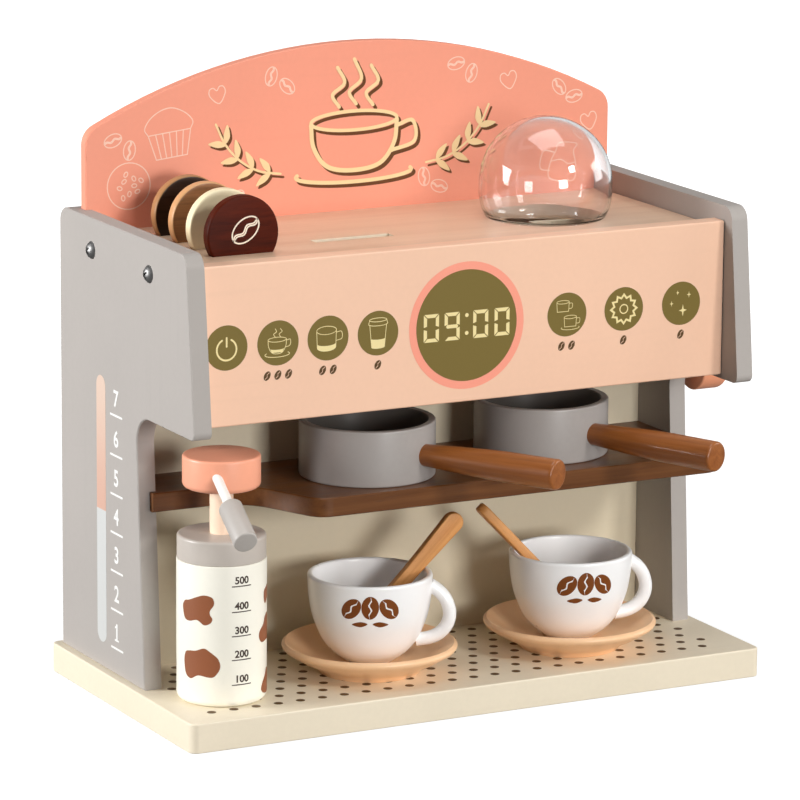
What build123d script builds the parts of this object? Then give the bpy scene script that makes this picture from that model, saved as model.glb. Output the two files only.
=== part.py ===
from build123d import *

import os
from math import cos, radians, sin, sqrt

# Toy coffee maker with its cups, bottle and portafilters. Millimetres, X to the right,
# Y to the back, Z up. The origin is the centre of the base board's underside.

# ---- gaps between pieces ----
joint_gap = 0.1  # glued or housed wooden joint, on each face
panel_gap = 0.4  # gap between the cross panels and the side panels
running_gap = 0.05  # turning or sliding pin in its hole, radial
screw_gap = 0.05  # screw in its pilot hole, radial
edge_ease = 0.8  # sanded edge of a board
small_ease = 0.5

# ---- base board ----
base_width = 300.0
base_depth = 158.5
base_thick = 14.0
base_corner = 4.0

# ---- side panels, in the YZ plane ----
base_overhang = 4.2  # how far the base reaches past a side panel's outer face
side_thick = 8.8
side_top = 226.3
side_back = 74.5
leg_foot = -18.9  # front of the leg where it stands on the base
leg_neck = -10.4  # the same line, carried up to the head
head_bottom = 143.0
head_front_low = -73.7
head_front_high = -65.0
neck_radius = 13.0
chin_radius = 3.5
crown_radius = 7.0
groove_depth = 3.0

# ---- boards that run across ----
sign_front = 57.5
sign_thick = 5.8
sign_arch_radius = 297.2
sign_arch_centre = 0.0
sign_corner = 10.0
partition_front = 18.5
partition_thick = 5.8
top_high = 215.7
top_thick = 9.0
fascia_front = -59.0
fascia_thick = 9.4
fascia_bottom = 145.0
fascia_top = 219.2
shelf_top = 106.5
shelf_thick = 9.0
shelf_front = -59.5
shelf_corner = 10.0
bay_front = -16.5  # front of the shelf behind the bottle
bay_corner = 22.5  # right of the bottle's axis, where the shelf's left end stops
bay_end = 41.5  # the same at the shelf's front
bay_radius = 26.0
bay_nose = 11.0

# ---- fasteners ----
screw_shank = 3.5
screw_head = 8.5
screw_head_high = 2.6
side_screw_length = 30.0
side_screw_ys = (-25.8, 38.0)
base_screw_head = 7.0
base_screw_length = 32.0
base_screw_ys = (2.0, 45.0)
cross_length = 4.4
cross_width = 1.0
cross_deep = 1.2
dowel_radius = 3.0
dowel_in_fascia = 6.0
dowel_in_top = 16.0
dowel_xs = (-90.0, 0.0, 90.0)

# ---- discs in the top panel ----
disc_radius = 18.0
disc_thick = 5.5
disc_centre_z = 225.0
disc_from_side = 40.0  # from the left side panel's inner face
disc_first_y = -19.9
disc_pitch = 19.1
disc_count = 4
disc_slot_gap = 0.2

# ---- slot for a disc laid flat, and the bean dome ----
insert_x = -33.5
insert_y = -7.2
insert_length = 41.0
insert_width = 6.7
dome_from_side = 61.4  # from the right side panel's inner face
dome_y = 4.6
dome_radius = 31.9
dome_wall = 1.8
dome_centre_z = 232.0
dome_shoulder_z = 227.0
dome_neck_radius = 28.0
dome_neck_deep = 7.0
dome_hole_gap = 0.3
dome_lip = 0.9

# ---- knob on the right side ----
knob_y = -8.0
knob_z = 140.3
knob_radius = 14.0
knob_thick = 14.5
knob_ease = 2.5
spacer_radius = 8.0
spacer_thick = 4.5
knob_screw_radius = 2.0
knob_screw_length = 22.0
knob_screw_head = 3.9
knob_head_thick = 2.4
washer_radius = 4.3
washer_thick = 0.6

# ---- portafilters on the shelf ----
pan_radius = 32.05
pan_wall = 3.75
pan_floor = 4.0
pan_high = 26.5
left_pan = (-32.4, -21.6)
right_pan = (63.35, -15.9)
grip_angle_left = -59.4  # direction of the handle, in degrees from +X
grip_angle_right = -66.8  # in degrees
grip_reach = 103.4  # from the cup's axis to the end of the handle
grip_high = 12.6  # above the shelf
grip_neck_radius = 5.2
grip_radius = 7.15
grip_swell = 0.62  # share of the handle's length where it reaches its full width
grip_ease = 1.2

# ---- cups, saucers and spoons ----
left_cup = (-35.3, -31.0)
right_cup = (70.5, -34.0)
cup_turn_left = -27.5  # direction of the handle, in degrees from +X
cup_turn_right = -14.5  # in degrees
saucer_floor = 19.3  # height of the dish that the cup stands on
saucer_rim = 28.0
saucer_radius = 41.4
saucer_foot = 23.5
saucer_under = 24.0
saucer_flare = (2.0, 2.2)  # out and up from the foot's edge, where the underside bends
saucer_brim_under = (8.0, 3.6)  # in from the rim and down, a point of the underside
saucer_brim = (6.0, 2.6)  # in from the rim and down, a point of the dish
saucer_dish = (4.0, 1.6)  # out from the foot and up, where the dish flattens
saucer_lip = (1.0, 0.6)  # in from the rim and up, where the lip starts below
saucer_lip_high = 1.6
cup_rim_z = 61.1
cup_rim = 29.4
cup_wall = 2.8
cup_foot = 11.5
cup_floor_thick = 3.4
cup_rim_ease = 0.9
loop_radius = 3.15
loop_width = 3.9
spoon_length = 69.7  # between the centres of its round ends
spoon_thick = 4.4
spoon_tip_radius = 4.7
spoon_low_radius = 4.2
spoon_waist = 3.5
left_spoon_tip = (41.1, 82.0)  # out from the cup's axis, and height
left_spoon_angles = (-7.5, 46.9, 90.0)  # direction, slope and roll, in degrees
right_spoon_tip = (41.5, 80.6)
right_spoon_angles = (163.0, 46.7, 8.0)  # in degrees

# ---- milk bottle with a pump ----
bottle_from_side = 19.5  # from the left side panel's inner face
bottle_y = -42.4
bottle_radius = 20.75
bottle_top = 80.5
bottle_ease = 3.5
lid_radius = 20.5
lid_high = 11.4
lid_ease = 1.2
stem_radius = 5.45
stem_in_bottle = 22.0
stem_in_head = 8.0
head_radius = 18.0
head_low = 113.4
head_high = 15.3
head_ease = 2.5
head_top_ease = 1.0
pump_stroke = 18.0
spout_start = (-9.15, -15.5, 120.6)  # where the rod leaves the head, from the bottle's axis
spout_turn = -7.0  # degrees from -Y towards -X
spout_drop = 26.6  # in degrees
spout_rod_radius = 2.25
spout_rod_inside = 9.0
spout_sleeve_radius = 5.5
spout_sleeve_from = 19.5
spout_sleeve_to = 44.3
spout_socket = 12.0

# ---- heights and faces that follow from the sizes above ----
side_outer = base_width / 2 - base_overhang
side_inner = side_outer - side_thick  # from the middle to a side panel's inner face
cross_half = side_inner - panel_gap
housed_half = side_inner + groove_depth - joint_gap
top_low = top_high - top_thick
fascia_back = fascia_front + fascia_thick
shelf_low = shelf_top - shelf_thick
lid_top = bottle_top + lid_high
stem_bore = stem_radius + running_gap
screw_bore = screw_shank / 2 + screw_gap
side_screw_z = (top_low + top_high) / 2
disc_x = disc_from_side - side_inner
dome_x = side_inner - dome_from_side
bottle_x = bottle_from_side - side_inner


def near(shape_list, point, count=1):
    """The items of a list whose centres lie nearest to a point."""
    target = Vector(*point)
    return ShapeList(sorted(shape_list, key=lambda s: (s.center() - target).length)[:count])


def box_between(low, high):
    """A box given by its lowest and highest corners."""
    size = [b - a for a, b in zip(low, high)]
    middle = [(a + b) / 2 for a, b in zip(low, high)]
    return Pos(*middle) * Box(*size)


def rod(start, direction, radius, length):
    """A cylinder that starts at a point and runs along a direction."""
    return extrude(Plane(origin=start, z_dir=direction) * Circle(radius), length)


def round_corner(face, point, radius):
    """The face with its corner nearest to the point rounded."""
    return fillet(near(face.vertices(), point), radius)


# ---- base and side panels ----


def base_board():
    board = extrude(RectangleRounded(base_width, base_depth, base_corner), base_thick)
    board = fillet(board.edges().group_by(Axis.Z)[-1], edge_ease)
    board = fillet(board.edges().group_by(Axis.Z)[0], small_ease)
    for place in base_screw_places():
        board -= rod((*place, -1), (0, 0, 1), screw_bore, base_thick + 2)
        board -= countersink(place)
    return board


def base_screw_places():
    return [(side * (side_inner + side_thick / 2), y) for side in (-1, 1) for y in base_screw_ys]


def countersink(place):
    depth = (base_screw_head - screw_shank) / 2
    cone = Cone(base_screw_head / 2 + screw_gap, screw_bore, depth)
    return Pos(*place, depth / 2) * cone


def side_outline():
    points = [
        (leg_foot, base_thick),
        (leg_neck, head_bottom),
        (head_front_low, head_bottom),
        (head_front_high, side_top),
        (side_back, side_top),
        (side_back, base_thick),
    ]
    face = make_face(Polyline(*points, close=True))
    corners = [
        (leg_neck, head_bottom, neck_radius),
        (head_front_low, head_bottom, chin_radius),
        (head_front_high, side_top, crown_radius),
        (side_back, side_top, crown_radius),
    ]
    for y, z, radius in corners:
        face = round_corner(face, (y, z, 0), radius)
    return face


def side_panel(side):
    """A side panel: -1 is the left one, 1 the right one. Its grooves are on the inside."""
    panel = Pos(side_inner, 0, 0) * extrude(Plane.YZ * side_outline(), side_thick)
    outside = panel.faces().sort_by(Axis.X)[-1]
    panel = chamfer(outside.edges(), small_ease)
    groove_end = side_inner + groove_depth
    start = side_inner - 1
    panel -= box_between(
        (start, sign_front - joint_gap, base_thick - 1),
        (groove_end, sign_front + sign_thick + joint_gap, side_top + 1),
    )
    panel -= box_between(
        (start, partition_front - joint_gap, base_thick - 1),
        (groove_end, partition_front + partition_thick + joint_gap, top_low),
    )
    panel -= box_between(
        (start, head_front_low, shelf_low - joint_gap),
        (groove_end, partition_front, shelf_top + joint_gap),
    )
    for y in side_screw_ys:
        panel -= rod((start, y, side_screw_z), (1, 0, 0), screw_bore, side_thick + 2)
    for y in base_screw_ys:
        foot = (side_inner + side_thick / 2, y, base_thick - 1)
        panel -= rod(foot, (0, 0, 1), screw_bore, base_screw_length + screw_gap - foot[2])
    if side < 0:
        return mirror(panel, Plane.YZ)
    recess = knob_head_thick + washer_thick
    panel -= rod((start, knob_y, knob_z), (1, 0, 0), knob_screw_radius + running_gap, side_thick + 2)
    panel -= rod((start, knob_y, knob_z), (1, 0, 0), washer_radius + joint_gap, recess + 1)
    return panel


# ---- boards across ----


def sign_board():
    half = housed_half
    arch_side = sign_arch_centre + sqrt(sign_arch_radius**2 - half**2)
    arch_top = sign_arch_centre + sign_arch_radius
    foot = [(-half, arch_side), (-half, base_thick), (half, base_thick), (half, arch_side)]
    arch = ThreePointArc((half, arch_side), (0, arch_top), (-half, arch_side))
    face = make_face([*Polyline(*foot).edges(), arch.edge()])
    for x in (-half, half):
        face = round_corner(face, (x, arch_side, 0), sign_corner)
    upright = Plane((0, sign_front, 0), x_dir=(1, 0, 0), z_dir=(0, -1, 0))
    board = extrude(upright * face, -sign_thick)
    for y in (sign_front, sign_front + sign_thick):
        rim = board.edges().filter_by_position(Axis.Y, y - 0.01, y + 0.01)
        board = chamfer([e for e in rim if e.center().Z > side_top], small_ease)
    return board


def partition_panel():
    return box_between(
        (-housed_half, partition_front, base_thick),
        (housed_half, partition_front + partition_thick, top_low - joint_gap),
    )


def disc_places():
    return [disc_first_y + n * disc_pitch for n in range(disc_count)]


def disc_slot_half():
    """Half the length of a slot whose ends just carry the disc."""
    return sqrt(disc_radius**2 - (disc_centre_z - top_high) ** 2) + joint_gap


def slot(x, y, length, width):
    """What a slot takes out of the top panel."""
    return Pos(x, y, side_screw_z) * Box(length, width, top_thick + 2)


def top_panel():
    panel = box_between((-cross_half, fascia_back, top_low), (cross_half, sign_front, top_high))
    panel = chamfer(panel.edges().filter_by(Axis.Y).group_by(Axis.Z)[-1], small_ease)
    for y in disc_places():
        panel -= slot(disc_x, y, 2 * disc_slot_half(), disc_thick + 2 * disc_slot_gap)
    panel -= slot(insert_x, insert_y, insert_length, insert_width)
    hole = dome_neck_radius + dome_hole_gap
    panel -= rod((dome_x, dome_y, top_low - 1), (0, 0, 1), hole, top_thick + 2)
    tip = side_outer - side_screw_length - joint_gap
    for y in side_screw_ys:
        panel -= rod((tip, y, side_screw_z), (1, 0, 0), screw_bore, side_screw_length)
        panel -= rod((-tip, y, side_screw_z), (-1, 0, 0), screw_bore, side_screw_length)
    for x in dowel_xs:
        panel -= dowel_hole(x, fascia_back - 1, dowel_in_top + joint_gap + 1)
    return panel


def dowel_hole(x, y, length):
    return rod((x, y, side_screw_z), (0, 1, 0), dowel_radius + screw_gap, length)


def fascia_panel():
    low = (-cross_half, fascia_front, fascia_bottom)
    high = (cross_half, fascia_back, fascia_top)
    panel = fillet(box_between(low, high).edges().filter_by(Axis.X), edge_ease)
    deep = dowel_in_fascia + joint_gap
    for x in dowel_xs:
        panel -= dowel_hole(x, fascia_back - deep, deep + 1)
    return panel


def shelf():
    """The shelf, cut back on the left so that the tall bottle can stand in front of it."""
    back = partition_front - joint_gap
    corner, end = bottle_x + bay_corner, bottle_x + bay_end
    points = [
        (-housed_half, back),
        (-housed_half, bay_front),
        (corner, bay_front),
        (end, shelf_front),
        (housed_half, shelf_front),
        (housed_half, back),
    ]
    face = make_face(Polyline(*points, close=True))
    face = round_corner(face, (corner, bay_front, 0), bay_radius)
    face = round_corner(face, (end, shelf_front, 0), bay_nose)
    face = round_corner(face, (housed_half, shelf_front, 0), shelf_corner)
    board = extrude(Pos(0, 0, shelf_low) * face, shelf_thick)
    for level in (0, -1):
        rim = [e for e in board.edges().group_by(Axis.Z)[level] if e.center().Y < bay_front + 1]
        board = chamfer(rim, small_ease)
    return board


# ---- fasteners ----


def cross_slot(depth):
    """The crossed recess of a screw head, cut down from Z = 0."""
    bar = Pos(0, 0, -depth / 2) * Box(cross_length, cross_width, depth)
    return bar + Rot(0, 0, 90) * bar


def pan_screw(shank, head, head_high, length):
    """A screw with a domed head above Z = 0 and its shank below."""
    round_top = ((head / 2) ** 2 + head_high**2) / (2 * head_high)
    cap = Pos(0, 0, head_high - round_top) * Sphere(round_top)
    cap &= Pos(0, 0, head_high / 2) * Cylinder(head / 2 - 0.05, head_high)
    body = cap + Pos(0, 0, -length / 2 + 0.01) * Cylinder(shank / 2, length)
    return body - Pos(0, 0, head_high) * cross_slot(cross_deep)


def side_screws():
    screws = []
    screw = pan_screw(screw_shank, screw_head, screw_head_high, side_screw_length - joint_gap)
    for side in (-1, 1):
        for y in side_screw_ys:
            place = (side * side_outer, y, side_screw_z)
            seat = Plane(place, x_dir=(0, 1, 0), z_dir=(side, 0, 0))
            screws.append(seat * Rot(0, 0, 20 + 3 * y) * screw)
    return screws


def base_screws():
    depth = (base_screw_head - screw_shank) / 2
    screws = []
    for place in base_screw_places():
        head = Pos(0, 0, depth / 2) * Cone(base_screw_head / 2, screw_shank / 2, depth)
        shank = Pos(0, 0, base_screw_length / 2) * Cylinder(screw_shank / 2, base_screw_length)
        slot = Rot(180, 0, 0) * cross_slot(cross_deep)
        screws.append(Pos(*place, 0) * (head + shank - slot))
    return screws


def fascia_dowels():
    start = fascia_back - dowel_in_fascia
    length = dowel_in_fascia + dowel_in_top
    dowels = [rod((x, start, side_screw_z), (0, 1, 0), dowel_radius, length) for x in dowel_xs]
    return [chamfer(d.edges().filter_by(GeomType.CIRCLE), small_ease) for d in dowels]


# ---- discs and dome ----


def disc(y):
    body = Cylinder(disc_radius, disc_thick)
    body = fillet(body.edges().filter_by(GeomType.CIRCLE), edge_ease)
    return Pos(disc_x, y, disc_centre_z) * Rot(90, 0, 0) * body


def dome_form(inset):
    """The dome's outside for inset 0, and its inside for an inset of the wall."""
    radius = dome_radius - inset
    neck = dome_neck_radius - inset
    lip = neck + dome_lip
    seat = top_high + running_gap + inset / 2
    bottom = top_high - dome_neck_deep - inset
    side = Line((radius, dome_centre_z), (radius, dome_shoulder_z))
    shoulder = TangentArc((radius, dome_shoulder_z), (lip, seat), tangent=(0, -1))
    crown = (0, dome_centre_z + radius)
    foot = Polyline((lip, seat), (neck, seat), (neck, bottom), (0, bottom), crown)
    cap = CenterArc((0, dome_centre_z), radius, 0, 90)
    face = make_face([side.edge(), shoulder.edge(), *foot.edges(), cap.edge()])
    return revolve(Plane.XZ * face, Axis.Z)


def bean_dome():
    return Pos(dome_x, dome_y, 0) * (dome_form(0) - dome_form(dome_wall))


# ---- side knob ----


def knob_start():
    return side_outer + spacer_thick + 2 * joint_gap


def side_knob():
    start = knob_start()
    knob = rod((start, knob_y, knob_z), (1, 0, 0), knob_radius, knob_thick)
    knob = fillet(knob.edges().filter_by(GeomType.CIRCLE).sort_by(Axis.X)[-1], knob_ease)
    knob = fillet(knob.edges().filter_by(GeomType.CIRCLE).sort_by(Axis.X)[0], edge_ease)
    screw_end = side_inner + knob_head_thick + knob_screw_length + joint_gap
    bore = knob_screw_radius + screw_gap
    return knob - rod((start - 1, knob_y, knob_z), (1, 0, 0), bore, screw_end - start + 1)


def knob_spacer():
    start = (side_outer + joint_gap, knob_y, knob_z)
    ring = rod(start, (1, 0, 0), spacer_radius, spacer_thick)
    return ring - rod(start, (1, 0, 0), knob_screw_radius + running_gap, spacer_thick)


def knob_washer():
    start = (side_inner + knob_head_thick, knob_y, knob_z)
    ring = rod(start, (1, 0, 0), washer_radius, washer_thick)
    return ring - rod(start, (1, 0, 0), knob_screw_radius + running_gap, washer_thick)


def knob_screw():
    seat = Plane((side_inner + knob_head_thick, knob_y, knob_z), x_dir=(0, 1, 0), z_dir=(-1, 0, 0))
    head_high = knob_head_thick - joint_gap
    return seat * pan_screw(2 * knob_screw_radius, 2 * knob_screw_head, head_high, knob_screw_length)


# ---- portafilters ----


def pan(centre, angle):
    """A portafilter's cup, bored through its side for the handle."""
    up = (0, 0, 1)
    cup = rod((0, 0, 0), up, pan_radius, pan_high)
    cup -= rod((0, 0, pan_floor), up, pan_radius - pan_wall, pan_high)
    cup = fillet(cup.edges().group_by(Axis.Z)[-1], small_ease)
    cup = fillet(cup.edges().group_by(Axis.Z)[0], edge_ease)
    towards = (cos(radians(angle)), sin(radians(angle)), 0)
    cup -= rod((0, 0, grip_high), towards, grip_neck_radius + joint_gap, grip_reach)
    return Pos(*centre, shelf_top) * cup


def grip(centre, angle):
    """A turned handle that grows thicker away from the cup, glued into the cup's wall."""
    start = pan_radius - pan_wall
    inner, outer = (start, grip_neck_radius), (pan_radius, grip_neck_radius)
    swell = (start + grip_swell * (grip_reach - start), grip_radius)
    tail = (grip_reach, 0)
    neck = Line(inner, outer)
    side = Spline(outer, swell, tangents=[(1, 0.03), (1, 0)])
    end = FilletPolyline(swell, (grip_reach, grip_radius), tail, radius=grip_ease)
    close = Polyline(tail, (start, 0), inner)
    face = make_face([neck.edge(), side.edge(), *end.edges(), *close.edges()])
    body = revolve(face, Axis.X)
    return Pos(*centre, shelf_top + grip_high) * Rot(0, 0, angle) * body


# ---- cups, saucers and spoons ----


def cup_form(inset):
    """The bowl's outside for inset 0, and its inside for an inset of the wall."""
    rise = cup_rim_z - saucer_floor
    wide = cup_rim - inset
    low = cup_floor_thick if inset else 0
    side = [
        (cup_foot * wide / cup_rim, 0),
        (0.60 * wide, 0.11),
        (0.76 * wide, 0.245),
        (0.871 * wide, 0.416),
        (0.938 * wide, 0.565),
        (0.985 * wide, 0.78),
        (wide, 1),
    ]
    side = [(x, low + z * (rise - low)) for x, z in side]
    wall = Spline(*side, tangents=[(1, 0.25), (0.02, 1)])
    close = Polyline(side[-1], (0, rise), (0, low), side[0])
    return revolve(Plane.XZ * make_face([wall.edge(), *close.edges()]), Axis.Z)


def cup_loop():
    """The cup's handle: an oval section carried round a loop in the XZ plane."""
    rise = cup_rim_z - saucer_floor
    upper = [(0.93, 0.865), (1.17, 0.75), (1.285, 0.55)]
    lower = [(1.22, 0.375), (1.02, 0.255), (0.72, 0.225)]
    path = Plane.XZ * Spline(*[(x * cup_rim, z * rise) for x, z in upper + lower])
    start = Plane(origin=path @ 0, x_dir=(0, 1, 0), z_dir=path % 0)
    return sweep(start * Ellipse(loop_width, loop_radius), path)


def cup(centre, angle):
    body = cup_form(0) + cup_loop() - cup_form(cup_wall)
    rim = [e for e in body.edges() if e.center().Z > cup_rim_z - saucer_floor - 0.01]
    body = fillet(rim, cup_rim_ease)
    return Pos(*centre, saucer_floor) * Rot(0, 0, angle) * body


def saucer(centre):
    reach, foot, rim = saucer_radius, saucer_foot, saucer_rim
    foot_edge = (foot, base_thick)
    lip_low = (reach - saucer_lip[0], saucer_under + saucer_lip[1])
    lip_top = (reach - saucer_lip_high, rim)
    dish_edge = (foot - saucer_dish[0], saucer_floor)
    dish_middle = (0, saucer_floor)
    flare = (foot + saucer_flare[0], base_thick + saucer_flare[1])
    brim_under = (reach - saucer_brim_under[0], saucer_under - saucer_brim_under[1])
    brim = (reach - saucer_brim[0], rim - saucer_brim[1])
    dish = (foot + saucer_dish[0], saucer_floor + saucer_dish[1])
    below = [foot_edge, flare, brim_under, lip_low]
    above = [lip_top, brim, dish, dish_edge]
    bottom = Polyline(dish_edge, dish_middle, (0, base_thick), foot_edge)
    outside = Spline(*below, tangents=[(0.25, 1), (1, 1)])
    lip = ThreePointArc(lip_low, (reach, rim - saucer_lip_high), lip_top)
    inside = Spline(*above, tangents=[(-1, -0.1), (-1, 0)])
    face = make_face([*bottom.edges(), outside.edge(), lip.edge(), inside.edge()])
    return Pos(*centre, 0) * revolve(Plane.XZ * face, Axis.Z)


def spoon_blank():
    """A flat wooden spoon lying along X from its low end, with its width along Y."""
    length, low, tip = spoon_length, spoon_low_radius, spoon_tip_radius
    waist = [(0.22 * length, spoon_waist + 0.35), (0.55 * length, spoon_waist)]
    upper = Spline((0, low), *waist, (length, tip), tangents=[(1, 0), (1, 0.02)])
    lower = mirror(upper, Plane.XZ)
    tip_end = ThreePointArc((length, tip), (length + tip, 0), (length, -tip))
    low_end = ThreePointArc((0, low), (-low, 0), (0, -low))
    face = make_face([upper.edge(), tip_end.edge(), lower.edge(), low_end.edge()])
    blank = extrude(Pos(0, 0, -spoon_thick / 2) * face, spoon_thick)
    return chamfer(blank.faces().filter_by(Axis.Z).edges(), edge_ease)


def spoon(centre, tip, angles):
    """A spoon that leans in its cup; its slope is its angle to the ground."""
    tip_reach, tip_z = tip
    turn, slope, roll = angles
    low_reach = tip_reach - spoon_length * cos(radians(slope))
    low_z = tip_z - spoon_length * sin(radians(slope))
    lean = Pos(low_reach, 0, low_z) * Rot(0, -slope, 0) * Rot(roll, 0, 0)
    return Pos(*centre, 0) * Rot(0, 0, turn) * lean * spoon_blank()


# ---- milk bottle ----


def bottle_body():
    body = rod((0, 0, base_thick), (0, 0, 1), bottle_radius, bottle_top - base_thick)
    body = fillet(body.edges().group_by(Axis.Z)[0], bottle_ease)
    bore_bottom = lid_top - stem_in_bottle - pump_stroke - joint_gap
    body -= rod((0, 0, bore_bottom), (0, 0, 1), stem_bore, bottle_top)
    return Pos(bottle_x, bottle_y, 0) * body


def bottle_lid():
    lid = rod((0, 0, bottle_top), (0, 0, 1), lid_radius, lid_high)
    lid = fillet(lid.edges().group_by(Axis.Z)[-1], lid_ease)
    lid -= rod((0, 0, bottle_top), (0, 0, 1), stem_bore, lid_high)
    return Pos(bottle_x, bottle_y, 0) * lid


def pump_stem():
    start = lid_top - stem_in_bottle
    stem = rod((bottle_x, bottle_y, start), (0, 0, 1), stem_radius, head_low + stem_in_head - start)
    return chamfer(stem.edges().filter_by(GeomType.CIRCLE), small_ease)


def spout_direction():
    turn, drop = radians(spout_turn), radians(spout_drop)
    return (sin(turn) * cos(drop), -cos(turn) * cos(drop), -sin(drop))


def along_spout(distance):
    """The point at a distance along the spout from where it leaves the head."""
    x, y, z = spout_start
    dx, dy, dz = spout_direction()
    return (bottle_x + x + dx * distance, bottle_y + y + dy * distance, z + dz * distance)


def pump_head():
    head = rod((0, 0, head_low), (0, 0, 1), head_radius, head_high)
    head = fillet(head.edges().group_by(Axis.Z)[0], head_ease)
    head = fillet(head.edges().group_by(Axis.Z)[-1], head_top_ease)
    head -= rod((0, 0, head_low - 1), (0, 0, 1), stem_bore, stem_in_head + joint_gap + 1)
    head = Pos(bottle_x, bottle_y, 0) * head
    hole = along_spout(-spout_rod_inside - joint_gap)
    return head - rod(hole, spout_direction(), spout_rod_radius + screw_gap, spout_sleeve_from)


def spout_rod():
    length = spout_rod_inside + spout_sleeve_from + spout_socket
    return rod(along_spout(-spout_rod_inside), spout_direction(), spout_rod_radius, length)


def spout_sleeve():
    start = along_spout(spout_sleeve_from)
    length = spout_sleeve_to - spout_sleeve_from
    sleeve = rod(start, spout_direction(), spout_sleeve_radius, length)
    sleeve = chamfer(sleeve.edges().filter_by(GeomType.CIRCLE), edge_ease)
    bore = spout_rod_radius + screw_gap
    return sleeve - rod(start, spout_direction(), bore, spout_socket + joint_gap)


# ---- every piece by name ----

pieces = {
    "base_board": base_board(),
    "left_side_panel": side_panel(-1),
    "right_side_panel": side_panel(1),
    "sign_board": sign_board(),
    "partition_panel": partition_panel(),
    "top_panel": top_panel(),
    "fascia_panel": fascia_panel(),
    "shelf": shelf(),
    "side_screws": side_screws(),
    "base_screws": base_screws(),
    "fascia_dowels": fascia_dowels(),
    "bean_dome": bean_dome(),
    "side_knob": side_knob(),
    "knob_spacer": knob_spacer(),
    "knob_washer": knob_washer(),
    "knob_screw": knob_screw(),
    "left_portafilter": pan(left_pan, grip_angle_left),
    "left_portafilter_handle": grip(left_pan, grip_angle_left),
    "right_portafilter": pan(right_pan, grip_angle_right),
    "right_portafilter_handle": grip(right_pan, grip_angle_right),
    "left_saucer": saucer(left_cup),
    "left_cup": cup(left_cup, cup_turn_left),
    "left_spoon": spoon(left_cup, left_spoon_tip, left_spoon_angles),
    "right_saucer": saucer(right_cup),
    "right_cup": cup(right_cup, cup_turn_right),
    "right_spoon": spoon(right_cup, right_spoon_tip, right_spoon_angles),
    "bottle_body": bottle_body(),
    "bottle_lid": bottle_lid(),
    "pump_stem": pump_stem(),
    "pump_head": pump_head(),
    "spout_rod": spout_rod(),
    "spout_sleeve": spout_sleeve(),
}
for number, disc_y in enumerate(disc_places(), start=1):
    pieces[f"disc_{number}"] = disc(disc_y)

os.makedirs("parts", exist_ok=True)
for name, piece in pieces.items():
    solids = piece if isinstance(piece, list) else [piece]
    solids = [s for part in solids for s in part.solids()]
    whole = solids[0] if len(solids) == 1 else Compound(children=solids)
    export_step(whole, f"parts/{name}.step")
    print(name, len(solids), "solid(s)")
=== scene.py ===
import math

import bmesh
import bpy
from mathutils import Matrix, Vector


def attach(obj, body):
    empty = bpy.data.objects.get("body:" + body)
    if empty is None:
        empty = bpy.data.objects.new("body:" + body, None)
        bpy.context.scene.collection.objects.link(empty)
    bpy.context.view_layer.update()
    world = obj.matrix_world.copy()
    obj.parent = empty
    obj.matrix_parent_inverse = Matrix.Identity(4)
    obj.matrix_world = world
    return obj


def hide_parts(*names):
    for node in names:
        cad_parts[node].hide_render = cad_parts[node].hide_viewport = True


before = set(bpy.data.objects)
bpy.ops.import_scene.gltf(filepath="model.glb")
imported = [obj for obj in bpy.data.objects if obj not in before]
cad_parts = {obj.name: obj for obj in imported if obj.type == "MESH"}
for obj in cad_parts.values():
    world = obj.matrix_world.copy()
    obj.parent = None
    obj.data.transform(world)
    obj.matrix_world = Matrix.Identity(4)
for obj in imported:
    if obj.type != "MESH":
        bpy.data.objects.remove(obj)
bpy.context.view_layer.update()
print("frame loaded")

mm = 0.001  # sizes below are millimetres; the scene is in metres


def shade(red, green, blue):  # a screen colour, 0 to 255, as Blender wants it
    linear = []
    for part in (red, green, blue):
        part /= 255
        linear.append(part / 12.92 if part <= 0.04045 else ((part + 0.055) / 1.055) ** 2.4)
    return (*linear, 1.0)


def tinted(colour, factor):  # the same colour, lighter or darker
    return (*[min(1.0, part * factor) for part in colour[:3]], 1.0)


class Wire:  # an output of a shader node that can be used in sums
    def __init__(self, coat, socket):
        self.coat = coat
        self.socket = socket

    def __add__(self, other):
        return self.coat.maths("ADD", self, other)

    def __radd__(self, other):
        return self.coat.maths("ADD", other, self)

    def __sub__(self, other):
        return self.coat.maths("SUBTRACT", self, other)

    def __rsub__(self, other):
        return self.coat.maths("SUBTRACT", other, self)

    def __mul__(self, other):
        return self.coat.maths("MULTIPLY", self, other)

    def __rmul__(self, other):
        return self.coat.maths("MULTIPLY", other, self)


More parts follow.
